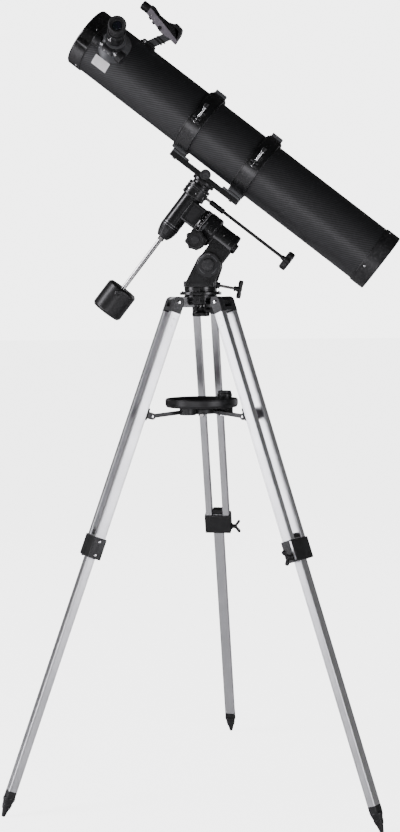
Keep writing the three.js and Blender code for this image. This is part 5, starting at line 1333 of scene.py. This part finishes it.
# %% Draw tube and eyepiece
draw = turned([(16.3, 60), (18, 60, 0.4), (18, 147, 0.3), (20.5, 147.4, 0.6), (20.5, 153, 0.4),
               (19.8, 153.4, 0.2), (19.8, 154.4, 0.2), (20.5, 154.8, 0.4), (20.5, 160, 0.8),
               (16.3, 160, 0.4)], 96, hollow=True)
rack = in_row(brick(-3.4, 3.4, -18.5, -17.6, -0.5, 0.5, 0.2), 26, (0, 0, 1.9), moulding, (0, 0, 92))
thumb = turned([(0, 20), (1.6, 20), (1.6, 24), (4.6, 24.4, 0.5), (4.6, 29, 0.8), (0, 29)], 48, lobes=14,
               depth=0.5)
thumb = placed(thumb, turn(90, "X"), move(0, 0, 154))
body = turned([(0, 160.3), (18, 160.3, 0.8), (18, 166, 0.4), (17, 166.6, 0.4), (17, 180, 0.4),
               (18, 180.6, 0.5), (18.6, 182, 1), (20.5, 184, 1), (20.5, 187, 0.6), (19.4, 187.8, 0.4),
               (19.4, 189, 0.4),
               (20.5, 189.8, 0.6), (20.5, 192.6, 1.4), (18.6, 194.3, 1.2), (15.4, 193.4, 1.2), (13.4, 188, 1),
               (11.2, 185.6, 0.5), (11.2, 184.6, 0.1), (0, 184.6)], 112)
grips = round_axis(brick(16.6, 17.9, -0.7, 0.7, 167, 179.6, 0.3), 36, rubber)
eye_lens = turned([(0, 184.7), (10.6, 184.7), (9, 185.8, 3), (0, 186.6)], 56)
make("draw_tube", [(draw, moulding, LAY_X), (rack, moulding, LAY_X), (thumb, chrome, LAY_X),
                   (body, rubber, LAY_X), (grips, rubber, LAY_X), (eye_lens, lens, LAY_X)],
     FOCUSER, "drawtube", ("focuser_drawtube", "eyepiece"))

# %% Focus knobs
knob_shape = [(0, 24), (12.4, 24, 0.8), (14, 25.6, 1), (14, 38.6, 1), (12.6, 40.6, 1), (9, 41, 0.5),
              (8.4, 40.2, 0.3), (0, 40.2)]
knob_parts = [(rod(3, -25, 25, 0.3, 40), chrome)]
for side in (0, 180):
    knob_parts.append((placed(turned(knob_shape, 96), turn(side, "X")), moulding))
    ribs = round_axis(brick(12.9, 14, -0.55, 0.55, 26.6, 37.8, 0.3), 40, moulding)
    knob_parts.append((placed(ribs, turn(side, "X")), moulding))
    shoulder = turned([(0, 17), (5, 17, 0.4), (5, 24.2), (0, 24.2)], 40)
    knob_parts.append((placed(shoulder, turn(side, "X")), chrome))
make("focus_grips", knob_parts, FOCUSER @ move(*PINION), "focus_axle", ("focus_knobs",))

# %% [markdown]
# ## The stage, light and camera
# A pale floor and a pale, even surround, as in a small product studio. Black paint
# only shows its shape through what it reflects, so the softboxes matter more than
# their brightness: one long low box gives the tube its broad soft highlight below
# the middle, a small one high on the left lifts the bar and the mount, and the sky
# overhead is kept dim so that the top of the tube stays dark.

# %% Floor
FLOOR_GLOW = 4.1
floor = bmesh.new()
bmesh.ops.create_grid(floor, x_segments=1, y_segments=1, size=40)
mesh = bpy.data.meshes.new("studio_floor")
floor.to_mesh(mesh)
floor.free()
studio_floor = bpy.data.objects.new("studio_floor", mesh)
bpy.context.scene.collection.objects.link(studio_floor)
card = bpy.data.materials.new("studio floor")
card.use_nodes = True
tree = card.node_tree
here = add(tree, "ShaderNodeTexCoord").outputs["Object"]
tone = use(tree, MOTTLE, Position=here, Per_metre=3.0)
sheet = tree.nodes["Principled BSDF"].inputs
tree.links.new(mixed(tree, tone, grey(0.86), grey(0.88)), sheet["Base Color"])
tree.links.new(ranged(tree, tone, 0.0, 1.0, 0.7, 0.8), sheet["Roughness"])
seen = add(tree, "ShaderNodeLightPath").outputs["Is Camera Ray"]
tree.links.new(maths(tree, "MULTIPLY", seen, FLOOR_GLOW), sheet["Emission Strength"])
sheet["Emission Color"].default_value = (1.0, 1.0, 1.0, 1.0)
mesh.materials.append(card)

# %% Surround: white where the camera looks, dimmer overhead where the paint looks
world = bpy.data.worlds.new("studio")
bpy.context.scene.world = world
world.use_nodes = True
tree = world.node_tree
background = tree.nodes["Background"]
direction = add(tree, "ShaderNodeTexCoord").outputs["Generated"]
height = add(tree, "ShaderNodeSeparateXYZ", {0: direction}).outputs["Z"]
HORIZON_GLOW, OVERHEAD_GLOW, BACKDROP_GLOW = 0.22, 0.03, 4.6
around = ranged(tree, height, 0.0, 0.5, HORIZON_GLOW, OVERHEAD_GLOW)
seen = add(tree, "ShaderNodeLightPath").outputs["Is Camera Ray"]
strength = add(tree, "ShaderNodeMix", {"Factor": seen, 2: around, 3: BACKDROP_GLOW}).outputs[0]
tree.links.new(strength, background.inputs["Strength"])
background.inputs["Color"].default_value = (1.0, 1.0, 1.0, 1.0)

# %% Softboxes
TARGET = Vector((0, 0, 1.2))
COOL_WHITE = (0.96, 0.94, 1.0)


def softbox(name, place, width, height, watts, towards=TARGET):
    light = bpy.data.lights.new(name, "AREA")
    light.shape, light.size, light.size_y, light.energy = "RECTANGLE", width, height, watts
    light.color = COOL_WHITE
    obj = bpy.data.objects.new(name, light)
    obj.location = place
    obj.rotation_euler = (towards - Vector(place)).to_track_quat("-Z", "Y").to_euler()
    obj.visible_camera = False
    bpy.context.scene.collection.objects.link(obj)


softbox("low_front", (-0.9, -3.2, 0.3), 2.6, 0.9, 30, Vector((0, 0, 1.5)))
softbox("left_front", (-3.3, -1.3, 1.0), 1.3, 2.2, 64, Vector((0, 0, 0.8)))
softbox("right_front", (2.6, -2.7, 0.9), 1.3, 2.2, 55, Vector((0, 0, 0.8)))
softbox("upper_left", (-2.6, -1.2, 3.2), 0.8, 1.4, 55)
softbox("left_back", (-1.4, 3.4, 2.2), 1.6, 1.2, 14)
softbox("right_back", (2.4, 3.0, 1.4), 1.2, 1.8, 14)

# %% Camera
CAMERA_PLACE = (0.2676, -3.6408, 1.1815)
CAMERA_PITCH, CAMERA_ROLL, CAMERA_HEADING = 85.5279, 0.5051, 4.4675
CAMERA_LENS = 64.95
lens_data = bpy.data.cameras.new("camera")
lens_data.lens = CAMERA_LENS
camera = bpy.data.objects.new("camera", lens_data)
camera.location = CAMERA_PLACE
camera.rotation_euler = [math.radians(a) for a in (CAMERA_PITCH, CAMERA_ROLL, CAMERA_HEADING)]
bpy.context.scene.collection.objects.link(camera)
bpy.context.scene.camera = camera
bpy.data.collections.remove(scratch)
